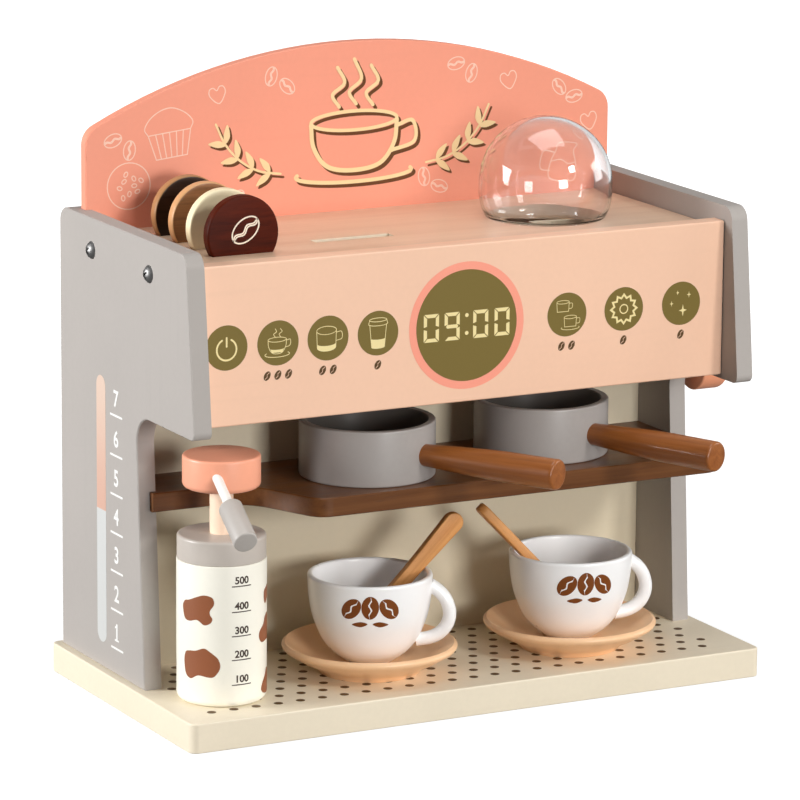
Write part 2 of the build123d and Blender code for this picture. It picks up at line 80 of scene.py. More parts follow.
class Coat:  # a material, or the sky, while its nodes are put together
    def __init__(self, name, group="materials"):
        self.owner = getattr(bpy.data, group).new(name)
        self.owner.use_nodes = True
        self.tree = self.owner.node_tree
        self.tree.nodes.clear()

    def node(self, kind, settings, sockets, output=0):
        made = self.tree.nodes.new(kind)
        for name, value in settings.items():
            setattr(made, name, value)
        for name, value in sockets.items():
            if isinstance(value, Wire):
                self.tree.links.new(value.socket, made.inputs[name])
            else:
                made.inputs[name].default_value = value
        return Wire(self, made.outputs[output]) if made.outputs else None

    def maths(self, operation, first, second):
        return self.node("ShaderNodeMath", {"operation": operation}, {0: first, 1: second})

    def vector(self, operation, first, second=(0, 0, 0), output=0):
        return self.node("ShaderNodeVectorMath", {"operation": operation}, {0: first, 1: second}, output)

    def greatest(self, first, *others):
        for other in others:
            first = self.maths("MAXIMUM", first, other)
        return first

    def place(self, stretch=(1, 1, 1)):  # the point on the piece, in metres, stretched for grain
        return self.vector("MULTIPLY", self.node("ShaderNodeTexCoord", {}, {}, "Object"), stretch)

    def part(self, point, axis):
        return self.node("ShaderNodeSeparateXYZ", {}, {"Vector": point}, axis)

    def fromAxis(self):  # distance from the axis that the piece was turned about
        return self.vector("LENGTH", self.place((1, 1, 0)), output="Value")

    def noise(self, place, scale, detail=2.0, twist=0.0):
        sockets = {"Vector": place, "Scale": scale, "Detail": detail, "Distortion": twist}
        return self.node("ShaderNodeTexNoise", {}, sockets, "Fac")

    def between(self, value, low, high):  # 0 below low, 1 above high
        sockets = {"Value": value, "From Min": low, "From Max": high}
        return self.node("ShaderNodeMapRange", {"interpolation_type": "SMOOTHSTEP"}, sockets)

    def mixed(self, mask, first, second):
        return self.node("ShaderNodeMix", {"data_type": "RGBA"}, {0: mask, 6: first, 7: second}, 2)

    def bump(self, height, deep, strength=1.0):
        sockets = {"Height": height, "Distance": deep * mm, "Strength": strength}
        return self.node("ShaderNodeBump", {}, sockets)

    def rays(self, *kinds):  # 1 for the named kinds of ray
        return self.greatest(*[self.node("ShaderNodeLightPath", {}, {}, kind) for kind in kinds])

    def surface(self, colour, rough, normal, more):
        sockets = {"Base Color": colour, "Roughness": rough, "Normal": normal, **more}
        return self.node("ShaderNodeBsdfPrincipled", {}, sockets)

    def either(self, share, first, second):
        return self.node("ShaderNodeMixShader", {}, {0: share, 1: first, 2: second})

    def done(self, shader, output="ShaderNodeOutputMaterial"):
        self.node(output, {}, {"Surface": shader})
        return self.owner


def gloss(shine, coat, coatRough):  # the shine of a surface, and of its varnish if it has any
    varnish = {"Coat Weight": coat, "Coat Roughness": coatRough} if coat else {}
    return {"Specular IOR Level": shine, **varnish}


def paintCoat(name, colour, rough, drift, grain=None, coat=0.0, shine=0.5, paintedShadeInside=None):
    # satin paint: slow drift of tone, faint specks, orange peel, and wood grain just showing through
    paint = Coat(name)
    place = paint.place()
    tone = paint.noise(place, 13, 3) * 0.7 + paint.noise(place, 420, 2) * 0.3
    body = paint.mixed(paint.between(tone, 0.3, 0.7), tinted(colour, 1 - drift), tinted(colour, 1 + drift))
    height = paint.noise(place, 900, 2) * 0.5
    if grain:
        lines = paint.noise(paint.place(grain), 1, 4)
        body = paint.mixed(paint.between(lines, 0.56, 0.75) * 0.35, body, tinted(colour, 1 - 2.2 * drift))
        height = height + lines * 0.5
    if paintedShadeInside:  # painted shade: a darker colour inside a turned piece, standing in for the shade in its hollow
        wall, floor = paintedShadeInside["radius"] * mm, 0.4 * mm
        inside = 1 - paint.between(paint.fromAxis(), wall + 0.2 * mm, wall + 0.5 * mm)
        inside = inside * paint.between(paint.part(place, "Z"), floor, 2 * floor)
        body = paint.mixed(inside, body, paintedShadeInside["colour"])
    uneven = rough + (paint.noise(place, 55, 3) - 0.5) * 0.16
    bump = paint.bump(height, 0.06, 0.35)
    return paint.done(paint.surface(body, uneven, bump, gloss(shine, coat, 0.2)))


def insideCut(wood, bareAndLitCut):  # 1 inside a box-shaped cut
    point = wood.vector("ABSOLUTE", wood.vector("SUBTRACT", wood.place(), bareAndLitCut["middle"]))
    point = wood.vector("DIVIDE", point, bareAndLitCut["half"])
    furthest = wood.greatest(*[wood.part(point, axis) for axis in "XYZ"])
    return wood.maths("LESS_THAN", furthest, 1)


def woodCoat(
    name, dark, pale, grain, rough, pores, coat=0.0, contrast=1.0, shine=0.5, rim=None, bareAndLitCut=None
):
    # bare or stained wood: long streaks, finer lines inside them and short dark pores
    wood = Coat(name)
    place = wood.place(grain)
    wander = wood.noise(place, 0.35, 3, 0.6)
    streak = wood.noise(place, 1.0, 5, 0.8)
    fine = wood.noise(place, 6.0, 3)
    mix = (wander * 0.45 + streak * 0.4 + fine * 0.15 - 0.5) * contrast + 0.5
    body = wood.mixed(wood.between(mix, 0.32, 0.68), dark, pale)
    pore = wood.between(wood.noise(place, 14.0, 2), 0.62, 0.72)
    body = wood.mixed(pore * pores, body, tinted(dark, 0.62))
    if rim:  # paler wood round the edge of a darker piece
        edge = rim["radius"] * mm
        rimTone = wood.mixed(streak, tinted(rim["colour"], 0.85), tinted(rim["colour"], 1.15))
        body = wood.mixed(wood.between(wood.fromAxis(), edge - 0.7 * mm, edge - 0.3 * mm), body, rimTone)
    if bareAndLitCut:  # its walls are bare wood, painted paler still: painted light on walls that the lamps leave in shade
        body = wood.mixed(insideCut(wood, bareAndLitCut), body, bareAndLitCut["colour"])
    uneven = rough + (streak - 0.5) * 0.22
    bump = wood.bump(fine * 0.5 - pore * 0.6, 0.08, 0.4)
    return wood.done(wood.surface(body, uneven, bump, gloss(shine, coat, 0.12)))


def steelCoat(name, dark, pale):
    steel = Coat(name)
    scratches = steel.noise(steel.place((900, 900, 9000)), 1, 3)
    body = steel.mixed(scratches, dark, pale)
    bump = steel.bump(scratches, 0.03, 0.3)
    return steel.done(steel.surface(body, 0.34 + scratches * 0.16, bump, {"Metallic": 1.0}))


def inkCoat(name, colour, rough=0.4, shine=0.5):
    # printed ink: nearly even, with a little of the paint's unevenness
    ink = Coat(name)
    place = ink.place()
    speck = ink.between(ink.noise(place, 2600, 2), 0.35, 0.75)
    drift = ink.noise(place, 30, 2)
    body = ink.mixed(speck * 0.25 + drift * 0.25, tinted(colour, 0.97), tinted(colour, 1.08))
    bump = ink.bump(ink.noise(place, 900, 2), 0.04, 0.3)
    return ink.done(ink.surface(body, rough + (drift - 0.5) * 0.12, bump, gloss(shine, 0, 0)))


def clearCoat(name, look):
    clear = Coat(name)
    bump = clear.bump(clear.noise(clear.place(), look["rippleScale"], 2), look["rippleDeep"])
    facing = clear.node("ShaderNodeLayerWeight", {}, {"Blend": 0.5}, "Facing")
    rim = clear.maths("POWER", facing, look["edgeSharp"])  # painted shade: greyer towards the outline, standing in for the darker edges of the dome
    body = clear.mixed(rim, look["colour"], look["edgeShadeColour"])
    glass = clear.surface(body, look["rough"], bump, {"IOR": look["index"], "Transmission Weight": 1.0})
    through = clear.node("ShaderNodeBsdfTransparent", {}, {"Color": look["shadow"]})
    return clear.done(clear.either(clear.rays("Is Shadow Ray", "Is Diffuse Ray"), glass, through))


# ways to make a mesh


def added(mesh, name, coat):  # the mesh as an object of the scene
    data = bpy.data.meshes.new(name)
    mesh.to_mesh(data)
    mesh.free()
    data.materials.append(coat)
    made = bpy.data.objects.new(name, data)
    bpy.context.scene.collection.objects.link(made)
    return made


def asPiece(mesh, name, coat, body, place, node, crease=38):
    bmesh.ops.remove_doubles(mesh, verts=mesh.verts, dist=1e-7)
    bmesh.ops.recalc_face_normals(mesh, faces=mesh.faces)
    piece = added(mesh, name, coat)
    for face in piece.data.polygons:
        face.use_smooth = True
    piece.data.set_sharp_from_angle(angle=math.radians(crease))
    piece.matrix_world = place
    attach(piece, body)
    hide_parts(node)


def rounded(points, radii, steps=6):  # a line through the points with rounded corners
    line = []
    for number, (point, radius) in enumerate(zip(points, radii)):
        here = Vector(point)
        if not radius:
            line.append(here)
            continue
        back = (Vector(points[number - 1]) - here).normalized()
        ahead = (Vector(points[number + 1]) - here).normalized()
        half = back.angle(ahead) / 2
        reach = radius / math.tan(half)
        centre = here + (back + ahead).normalized() * radius / math.sin(half)
        first = here + back * reach - centre
        last = here + ahead * reach - centre
        turn = first.angle(last)
        for step in range(steps + 1):
            share = step / steps
            arm = first * math.sin((1 - share) * turn) + last * math.sin(share * turn)
            line.append(centre + arm / math.sin(turn))
    return line


def smooth(points, steps=6, closed=False):  # a soft curve through the points
    points = [Vector(point) for point in points]
    if closed:
        guide = [points[-1], *points, *points[:2]]
    else:
        guide = [2 * points[0] - points[1], *points, 2 * points[-1] - points[-2]]
    line = []
    for a, b, c, d in zip(guide, guide[1:], guide[2:], guide[3:]):
        bend = 2 * a - 5 * b + 4 * c - d
        twist = 3 * b - a - 3 * c + d
        for step in range(steps):
            t = step / steps
            line.append(0.5 * (2 * b + (c - a) * t + bend * t**2 + twist * t**3))
    return line if closed else [*line, points[-1]]


def arc(centre, wide, high, start, end, steps=24):
    angles = [math.radians(start + (end - start) * k / steps) for k in range(steps + 1)]
    return [Vector((centre[0] + wide * math.cos(a), centre[1] + high * math.sin(a))) for a in angles]


def ring(centre, wide, high, corners):
    return arc(centre, wide, high, 0, 360 - 360 / corners, corners - 1)


def turnedAbout(points, centre, angle, size=1.0):
    spin = Matrix.Rotation(math.radians(angle), 2)
    return [Vector(centre) + spin @ (Vector(point) * size) for point in points]


def bridge(mesh, low, high):  # faces between two rings, of which one may be a point given many times
    for corners in zip(low, [*low[1:], low[0]], [*high[1:], high[0]], high):
        corners = list(dict.fromkeys(corners))
        if len(corners) > 2:
            mesh.faces.new(corners)


def turned(outline, steps):  # turned about Z; the outline holds (radius, height)
    mesh = bmesh.new()
    rings = []
    for radius, height in outline:
        if radius > 1e-4:
            points = [(x, y, height) for x, y in ring((0, 0), radius, radius, steps)]
            rings.append([mesh.verts.new(Vector(point) * mm) for point in points])
        else:
            rings.append([mesh.verts.new((0, 0, height * mm))] * steps)
    for low, high in zip(rings, rings[1:]):
        bridge(mesh, low, high)
    return mesh


def cylinder(radius, low, top, lowEase, topEase, easeSteps=8, steps=128):
    points = [(0, low), (radius, low), (radius, top), (0, top)]
    return turned(rounded(points, [0, lowEase, topEase, 0], easeSteps), steps)


def values(look, names):
    return [look[name] for name in names.split()]


def standing(x, y, z, turn=0.0):
    return Matrix.Translation((x * mm, y * mm, z * mm)) @ Matrix.Rotation(math.radians(turn), 4, "Z")


def pointing(start, direction):  # Z of the turned piece runs along the direction
    turn = Vector(direction).to_track_quat("Z", "Y").to_matrix().to_4x4()
    return Matrix.Translation(Vector(start) * mm) @ turn


class Print:  # a printed layer; surface(u, v, lift) gives its points, u and v in millimetres
    longestCorner = 1.8  # how far a sharp corner of a line may reach, in half widths
    numberShare = 0.73  # the height of a number in a font of size 1

    def __init__(self, surface, lift, layer=0.0):
        self.mesh = bmesh.new()
        self.surface = surface
        self.lift = lift  # how far it stands off the surface
        self.layer = layer  # and each further line off the last, so that none flicker
        self.origin = Vector((0, 0))

    def corners(self, points):
        points = [self.origin + Vector(point) for point in points]
        return [self.mesh.verts.new(self.surface(*point, self.lift)) for point in points]

    def fill(self, outline, rings=0):  # rings let it bend round a curve
        outline = [Vector(point) for point in outline]
        middle = sum(outline, Vector((0, 0))) / len(outline)
        last = self.corners(outline)
        for number in range(rings, 0, -1):
            share = number / (rings + 1)
            inner = self.corners([middle + (point - middle) * share for point in outline])
            bridge(self.mesh, last, inner)
            last = inner
        if rings:
            bridge(self.mesh, last, self.corners([middle]) * len(last))
        else:
            bmesh.ops.triangulate(self.mesh, faces=[self.mesh.faces.new(last)])

    def disc(self, middle, radius, corners):
        self.fill(ring(middle, radius, radius, corners))

    def line(self, points, width, closed=False):  # an open line has round ends
        points = [Vector(point) for point in points]
        sides = []
        for k, here in enumerate(points):
            ways = []
            if k or closed:
                ways.append(here - points[k - 1])
            if k < len(points) - 1 or closed:
                ways.append(points[(k + 1) % len(points)] - here)
            first, along = ways[0].normalized(), ways[0].normalized() + ways[-1].normalized()
            across = Vector((-along.y, along.x)).normalized()
            square = across.dot(Vector((-first.y, first.x)))
            offset = across * width / 2 * min(self.longestCorner, 1 / max(0.4, square))
            sides.append(self.corners([here + offset, here - offset]))
        for (a, b), (c, d) in zip(sides, sides[1:] + (sides[:1] if closed else [])):
            self.mesh.faces.new((a, b, d, c))
        for end, inward in () if closed else ((0, 1), (-1, -2)):
            away = points[end] - points[inward]
            start = math.degrees(math.atan2(away.y, away.x)) - 90
            cap = arc(points[end], width / 2, width / 2, start, start + 180, 6)
            self.mesh.faces.new(self.corners(cap))
        self.lift += self.layer

    def number(self, number, high, middle, heavy):
        font = bpy.data.curves.new("numbers", "FONT")
        font.body = str(number)
        font.align_x = font.align_y = "CENTER"
        font.size = high / self.numberShare
        font.offset = heavy * high
        font.resolution_u = 6
        holder = bpy.data.objects.new("numbers", font)
        bpy.context.scene.collection.objects.link(holder)
        flat = bpy.data.meshes.new_from_object(holder)
        made = self.corners([(middle[0] + v.co.x, middle[1] + v.co.y) for v in flat.vertices])
        for face in flat.polygons:
            self.mesh.faces.new([made[corner] for corner in face.vertices])
        bpy.data.objects.remove(holder)
        bpy.data.curves.remove(font)
        bpy.data.meshes.remove(flat)

    def done(self, name, coat, slot, body="frame"):
        piece = added(self.mesh, name, coat)
        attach(piece, body)


# coats of the boards that come straight from the frame

alongX, alongZ = (9, 240, 240), (200, 240, 9)  # grain that runs from left to right, and upright
boardPaints = {
    "cream": {"colour": shade(240, 228, 204), "rough": 0.45, "drift": 0.025, "grain": alongX},
    "grey": {"colour": shade(173, 167, 162), "rough": 0.54, "drift": 0.025, "grain": alongZ, "shine": 0.25},
    "coral": {"colour": shade(240, 154, 127), "rough": 0.46, "drift": 0.02, "grain": alongX},
    "ivory": {"colour": shade(222, 210, 184), "rough": 0.5, "drift": 0.02, "grain": alongX},
    "peach": {"colour": shade(242, 198, 169), "rough": 0.44, "drift": 0.02, "grain": alongX},
}
boardWoods = {
    "top": {
        "dark": shade(220, 181, 150),
        "pale": shade(237, 206, 178),
        "grain": (7, 170, 170),
        "rough": 0.36,
        "pores": 0.18,
        "coat": 0.15,
        "contrast": 0.8,
        # the slot, in metres
        "bareAndLitCut": {
            "middle": (-0.0335, -0.0072, 0.2086),
            "half": (0.0215, 0.0045, 0.007),
            # bare wood made paler still: painted light on the slot's walls
            "colour": shade(252, 240, 218),
        },
    },
    "shelf": {
        "dark": shade(82, 46, 19),
        "pale": shade(124, 77, 38),
        "grain": (7, 170, 170),
        "rough": 0.36,
        "pores": 0.3,
        "coat": 0.1,
        "contrast": 0.8,
        "shine": 0.3,
    },
}
coats = {name: paintCoat(name + " paint", **look) for name, look in boardPaints.items()}
coats.update({name: woodCoat(name + " wood", **look) for name, look in boardWoods.items()})
coats["steel"] = steelCoat("screw steel", shade(104, 103, 102), shade(172, 171, 170))
boardNodes = {
    "cream": ["base_board"],
    "grey": ["left_side_panel", "right_side_panel"],
    "coral": ["sign_board"],
    "ivory": ["partition_panel"],
    "peach": ["fascia_panel"],
    "top": ["top_panel", "fascia_dowels", "knob_spacer"],
    "shelf": ["shelf"],
    "steel": ["side_screws", "base_screws", "knob_washer", "knob_screw"],
}
for name, nodes in boardNodes.items():
    for node in nodes:
        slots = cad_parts[node].data.materials
        slots.clear()
        slots.append(coats[name])
print("boards coated")

# portafilters

panLook = {
    "outer": 32.05,
    "inner": 28.3,
    "high": 26.5,
    "floor": 4.0,
    "shelf": 106.5,  # height of the board that carries the pans
    "rounding": {"foot": 1.0, "rim": 0.8, "floor": 2.0, "grip": 1.3},
    "gripHigh": 12.6,
    "neck": 5.2,  # radius of the grip where it leaves the pan
    "grip": 7.15,  # and beyond its swelling
    "neckEnd": 46.0,
    "swellStart": 60.0,
    "swell": 74.9,
    "reach": 103.4,
    "paint": {"colour": shade(164, 158, 154), "rough": 0.36, "drift": 0.03, "coat": 0.1},
    # painted shade: the darker colour inside the pans stands in for the shade in their hollows
    "paintedShadeInside": shade(100, 95, 90),
    "woodDark": shade(124, 66, 24),
    "woodPale": shade(172, 104, 48),
    "places": {"left": (-32.4, -21.6, -59.4), "right": (63.35, -15.9, -66.8)},  # x, y and turn
}
panPaintedShadeInside = {"radius": panLook["inner"], "colour": panLook["paintedShadeInside"]}
panPaint = paintCoat("pan paint", **panLook["paint"], paintedShadeInside=panPaintedShadeInside)
gripWood = woodCoat(
    "grip wood", panLook["woodDark"], panLook["woodPale"], (300, 300, 14), 0.36, 0.22, 0.25, 0.8, 0.35
)


def makePan(side, x, y, turn):
    outer, inner, high, floor = values(panLook, "outer inner high floor")
    edge = panLook["rounding"]
    points = [(0, 0), (outer, 0), (outer, high), (inner, high), (inner, floor), (0, floor)]
    outline = rounded(points, [0, edge["foot"], edge["rim"], edge["rim"], edge["floor"], 0])
    place = standing(x, y, panLook["shelf"], turn)
    node = side + "_portafilter"
    asPiece(turned(outline, 128), side + "Pan", panPaint, side + "_filter", place, node)


def makeGrip(side, x, y, turn):
    neck, grip, swell, reach = values(panLook, "neck grip swell reach")
    start, tip = panLook["inner"] + 0.2, reach - 2
    taper = [(neck, panLook["outer"]), (neck + 0.75, panLook["neckEnd"]), (grip - 0.5, panLook["swellStart"])]
    taper = smooth([*taper, (grip, swell), (grip, tip)], 8)
    end = rounded([(grip, tip), (grip, reach), (0, reach)], [0, panLook["rounding"]["grip"], 0])[1:]
    mesh = turned([(0, start), (neck, start), *taper, *end], 72)
    direction = (math.cos(math.radians(turn)), math.sin(math.radians(turn)), 0)
    place = pointing((x, y, panLook["shelf"] + panLook["gripHigh"]), direction)
    node = side + "_portafilter_handle"
    asPiece(mesh, side + "Grip", gripWood, side + "_filter", place, node)


for side, place in panLook["places"].items():
    makePan(side, *place)
    makeGrip(side, *place)
print("portafilters made")

# cups, saucers and spoons

places = {"left": (-35.3, -31.0, -27.5), "right": (70.5, -34.0, -14.5)}  # x, y and the cup's turn
saucerLook = {
    "low": 14.0,  # top of the base board
    "foot": 23.9,
    "under": [(25.6, 16.4), (33.4, 20.4), (40.4, 24.6)],
    "lip": (41.8, 26.6),
    "over": [(39.8, 28.0), (35.4, 25.4), (27.5, 20.9), (19.5, 19.3)],
    "paint": {"colour": shade(255, 206, 160), "rough": 0.36, "drift": 0.03, "coat": 0.15},
}
cupLook = {
    "foot": 19.3,  # height of the cup's foot
    "rise": 41.8,
    "rim": 29.4,
    "wall": 2.8,
    "floor": 3.4,
    "base": 11.5,
    # the bowl's side and the middle of its handle, as shares of the rim and of the rise
    "side": [(0.60, 0.11), (0.76, 0.245), (0.871, 0.416), (0.938, 0.565), (0.985, 0.78), (1.0, 1.0)],
    "loop": [(0.955, 0.86), (1.17, 0.75), (1.285, 0.55), (1.22, 0.375), (1.02, 0.255), (0.74, 0.225)],
    "loopHalfWide": 3.9,
    "loopHalfThick": 3.15,
    "paint": {"colour": shade(251, 251, 251), "rough": 0.3, "drift": 0.012, "coat": 0.3},
    "ink": {"colour": shade(124, 67, 24), "shine": 0.25},
    "printFacing": {"left": -116.8, "right": -104.5},  # direction of the print's middle
    "printHigh": 29.5,
    "printRadius": 27.5,  # of the bowl at that height
    "printLift": 0.07,
    "beans": [((-8.6, 1.6), 52), ((0, 2.4), 88), ((8.6, 1.6), 128)],  # middle and turn of each
    "bean": (5.6, 3.9),  # half length and half width
}
saucerPaint = paintCoat("saucer paint", **saucerLook["paint"])
cupPaint = paintCoat("cup paint", **cupLook["paint"])
cupInk = inkCoat("cup ink", **cupLook["ink"])


def cupSide(inset):  # the bowl's side from foot to rim, as (radius, height)
    rim, base, rise, floor = values(cupLook, "rim base rise floor")
    low = floor if inset else 0.0
    shares = [(base / rim, 0.0), *cupLook["side"]]
    return smooth([((rim - inset) * r, low + z * (rise - low)) for r, z in shares], 8)


def addLoop(mesh):  # the cup's handle
    path = smooth([(r * cupLook["rim"], z * cupLook["rise"]) for r, z in cupLook["loop"]], 10)
    for _ in range(30):  # takes the last unevenness out of it
        path[1:-1] = [(a + 2 * b + c) / 4 for a, b, c in zip(path, path[1:], path[2:])]
    rings = []
    for k, here in enumerate(path):
        along = (path[min(k + 1, len(path) - 1)] - path[max(k - 1, 0)]).normalized()
        rings.append([])
        for thick, wide in ring((0, 0), cupLook["loopHalfThick"], cupLook["loopHalfWide"], 28):
            point = (here.x - along.y * thick, wide, here.y + along.x * thick)
            rings[-1].append(mesh.verts.new(Vector(point) * mm))
    for first, second in zip(rings, rings[1:]):
        bridge(mesh, first, second)
    mesh.faces.new(rings[0])
    mesh.faces.new(rings[-1])


def makeCup(side, x, y, turn):
    outside, inside = cupSide(0), cupSide(cupLook["wall"])
    rise, floor = cupLook["rise"], cupLook["floor"]
    lipOut, lipIn = outside[-1].x, inside[-1].x
    lip = [(lipOut, rise - 2), (lipOut, rise), (lipIn, rise), (lipIn, rise - 2)]
    lip = rounded(lip, [0, 1.2, 1.2, 0])[1:-1]
    outside = [point for point in outside if point.y < rise - 1.3]
    inside = [point for point in inside if point.y < rise - 1.3]
    foot = rounded([(0, 0), (cupLook["base"], 0), outside[1]], [0, 0.8, 0])
    mesh = turned([*foot[:-1], *outside[1:], *lip, *reversed(inside), (0, floor)], 128)
    addLoop(mesh)
    place = standing(x, y, cupLook["foot"], turn)
    asPiece(mesh, side + "Cup", cupPaint, side + "_mug", place, side + "_cup")


def makeSaucer(side, x, y, turn):
    low, under, over = values(saucerLook, "low under over")
    foot = rounded([(0, low), (saucerLook["foot"], low), under[0]], [0, 0.5, 0])[:-1]
    lip = rounded([under[-1], saucerLook["lip"], over[0]], [0, 1.2, 0])[1:-1]
    mesh = turned([*foot, *smooth(under, 8), *lip, *smooth(over, 8), (0, over[-1][1])], 128)
    place, node = standing(x, y, 0, turn), side + "_saucer"
    asPiece(mesh, side + "Saucer", saucerPaint, side + "_plate", place, node, 50)


spoonLook = {
    "long": 69.7,
    "thick": 4.4,
    "tip": 4.7,
    "low": 4.2,
    "waist": 3.5,
    "ease": 0.7,
    # direction, reach and height of the tip, slope, roll
    "lean": {"left": (-7.5, 41.1, 82.0, 46.9, 90.0), "right": (163.0, 41.5, 80.6, 46.7, 8.0)},
    "wood": {"dark": shade(198, 128, 64), "pale": shade(230, 168, 100), "grain": (22, 520, 520)},
}
spoonWood = woodCoat("spoon wood", **spoonLook["wood"], rough=0.52, pores=0.6, contrast=0.75)


def spoonOutline():
    long, tip, low, waist = values(spoonLook, "long tip low waist")
    top = smooth([(0, low), (0.22 * long, waist + 0.35), (0.55 * long, waist), (long, tip)], 8)
    bottom = [(point.x, -point.y) for point in reversed(top)]
    ends = arc((long, 0), tip, tip, 90, -90, 16), arc((0, 0), low, low, -90, -270, 16)
    return [*top, *ends[0][1:-1], *bottom, *ends[1][1:-1]]


def makeSpoon(side, x, y):
    mesh = bmesh.new()
    long, thick = spoonLook["long"], spoonLook["thick"] * mm
    corners = [mesh.verts.new((u * mm, v * mm, -thick / 2)) for u, v in spoonOutline()]
    grown = bmesh.ops.extrude_face_region(mesh, geom=[mesh.faces.new(corners)])
    moved = [item for item in grown["geom"] if isinstance(item, bmesh.types.BMVert)]
    bmesh.ops.translate(mesh, vec=(0, 0, thick), verts=moved)
    rims = [e for e in mesh.edges if abs(e.verts[0].co.z - e.verts[1].co.z) < 1e-6]
    bmesh.ops.bevel(mesh, geom=rims, offset=spoonLook["ease"] * mm, segments=3, affect="EDGES", profile=0.5)
    turn, tipReach, tipHigh, slope, roll = spoonLook["lean"][side]
    slope = math.radians(slope)
    lean = standing(tipReach - long * math.cos(slope), 0, tipHigh - long * math.sin(slope))
    lean = lean @ Matrix.Rotation(-slope, 4, "Y") @ Matrix.Rotation(math.radians(roll), 4, "X")
    place = standing(x, y, 0, turn) @ lean
    asPiece(mesh, side + "Spoon", spoonWood, side + "_stirrer", place, side + "_spoon")


def beanShape(centre, long, wide, turn):  # a coffee bean in two halves with a wavy gap
    halves = []
    for sign in (1, -1):
        half = arc((0, 0), long, sign * wide, 0, 180)
        for k in range(1, 16):
            wave = 0.16 * math.sin(math.pi * k / 4) + 0.1 * sign
            half.append((long * (k / 8 - 1) * 0.97, wide * wave))
        halves.append(turnedAbout(half, centre, turn))
    return halves


def cupPrint(side, x, y):
    facing = math.radians(cupLook["printFacing"][side])
    line = cupSide(0)

    def onCup(u, v, lift):  # u along the bowl, v up it
        high = cupLook["printHigh"] + v
        low, top = next(pair for pair in zip(line, line[1:]) if pair[0].y <= high <= pair[1].y)
        radius = low.x + (top.x - low.x) * (high - low.y) / (top.y - low.y) + lift
        angle = facing + u / cupLook["printRadius"]
        across, deep = x + radius * math.cos(angle), y + radius * math.sin(angle)
        return Vector((across, deep, cupLook["foot"] + high)) * mm

    art = Print(onCup, cupLook["printLift"])
    for centre, turn in cupLook["beans"]:
        for half in beanShape(centre, *cupLook["bean"], turn):
            art.fill(half, 3)
    for way in (-1, 1):  # two leaves below them
        leaf = [(way * 1.2, -5.6), (way * 4.4, -4.6), (way * 8.6, -6.0), (way * 4.6, -7.2)]
        art.fill(smooth(leaf, 6, True), 2)
    art.done(side + "CupPrint", cupInk, "white_paint", side + "_mug")


for side, (x, y, turn) in places.items():
    makeSaucer(side, x, y, turn)
    makeCup(side, x, y, turn)
    makeSpoon(side, x, y)
    cupPrint(side, x, y)
print("cups, saucers and spoons made")

# milk bottle and its pump

bottleLook = {
    "x": -117.5,
    "y": -42.4,
    "radius": 20.75,
    "low": 14.0,  # top of the base board
    "shoulder": 80.5,
    "lidRadius": 20.5,
    "lidHole": 5.5,
    "lidTop": 91.9,
    "stemRadius": 5.45,
    "stemLow": 69.9,
    "stemTop": 121.4,
    "headRadius": 18.0,
    "headLow": 113.4,
    "headTop": 128.7,
    "bottle": {"colour": shade(251, 248, 235), "rough": 0.34, "drift": 0.015, "coat": 0.2},
    "lid": {"colour": shade(196, 187, 178), "rough": 0.38, "drift": 0.025, "coat": 0.1},
    "stem": {"colour": shade(252, 224, 198), "rough": 0.4, "drift": 0.03, "grain": (500, 500, 12)},
    "head": {"colour": shade(250, 172, 140), "rough": 0.38, "drift": 0.025, "coat": 0.1},
    "rod": {"colour": shade(246, 244, 240), "rough": 0.3, "drift": 0.012},
    "sleeve": {"colour": shade(182, 176, 170), "rough": 0.4, "drift": 0.03},
    "blotch": {"colour": shade(148, 90, 60), "shine": 0.3},
    "ink": {"colour": shade(62, 46, 36)},
    "printLift": 0.06,
    "marks": {500: 71.2, 400: 59.2, 300: 47.8, 200: 36.6, 100: 24.9},  # numbers and their heights
    "markFrom": -101.8,  # degrees round the bottle
    "markTo": -76.0,
    "markWide": 0.5,
    "numberHigh": 3.4,
    "numberRise": 2.6,
    # the outline of each blotch: degrees round the bottle and height
    "blotches": [
        [(-173, 60), (-169, 63), (-160, 64), (-147, 66), (-137, 67), (-127, 66), (-125, 63), (-130, 60)]
        + [(-130, 58), (-127, 56), (-130, 54), (-138, 53), (-148, 55), (-160, 54), (-169, 55)],
        [(-170, 35), (-167, 39), (-160, 40), (-150, 40.5), (-138, 42), (-130, 40.5), (-120, 37.5)]
        + [(-117, 34), (-120, 31), (-128, 28.5), (-146, 29), (-158, 27), (-167, 29)],
        [(-48, 65), (-44, 67), (-27, 68), (-21, 64), (-30, 62), (-42, 60), (-47, 61.5)],
        [(-44, 54), (-49, 51), (-59, 48), (-60, 45), (-54, 42.5), (-40, 42.5), (-25, 43), (-27, 49)]
        + [(-33, 55)],
        [(-44, 26), (-52, 23), (-55, 20), (-48, 18), (-33, 17.5), (-24, 22), (-30, 28), (-38, 29)],
        [(42, 58), (30, 62), (20, 65), (4, 62), (-3, 58), (8, 54), (21, 51.5), (38, 54)],
        [(54, 32), (44, 37), (34, 41), (20, 36), (15, 30), (26, 26.5), (35, 24.5), (50, 28)],
        [(111, 50), (100, 55), (88, 57), (70, 54), (66, 48), (80, 45), (91, 43), (107, 46)],
        [(143, 68), (134, 71), (127, 73), (113, 71), (111, 67), (122, 65), (130, 63), (142, 65)],
        [(159, 30), (149, 35), (139, 37), (123, 33), (119, 28), (131, 25), (141, 23), (156, 26)],
    ],
}
for name in ("bottle", "lid", "stem", "head", "rod", "sleeve"):
    coats[name] = paintCoat(name + " paint", **bottleLook[name])
blotchInk = inkCoat("blotch ink", **bottleLook["blotch"])
markInk = inkCoat("mark ink", **bottleLook["ink"])


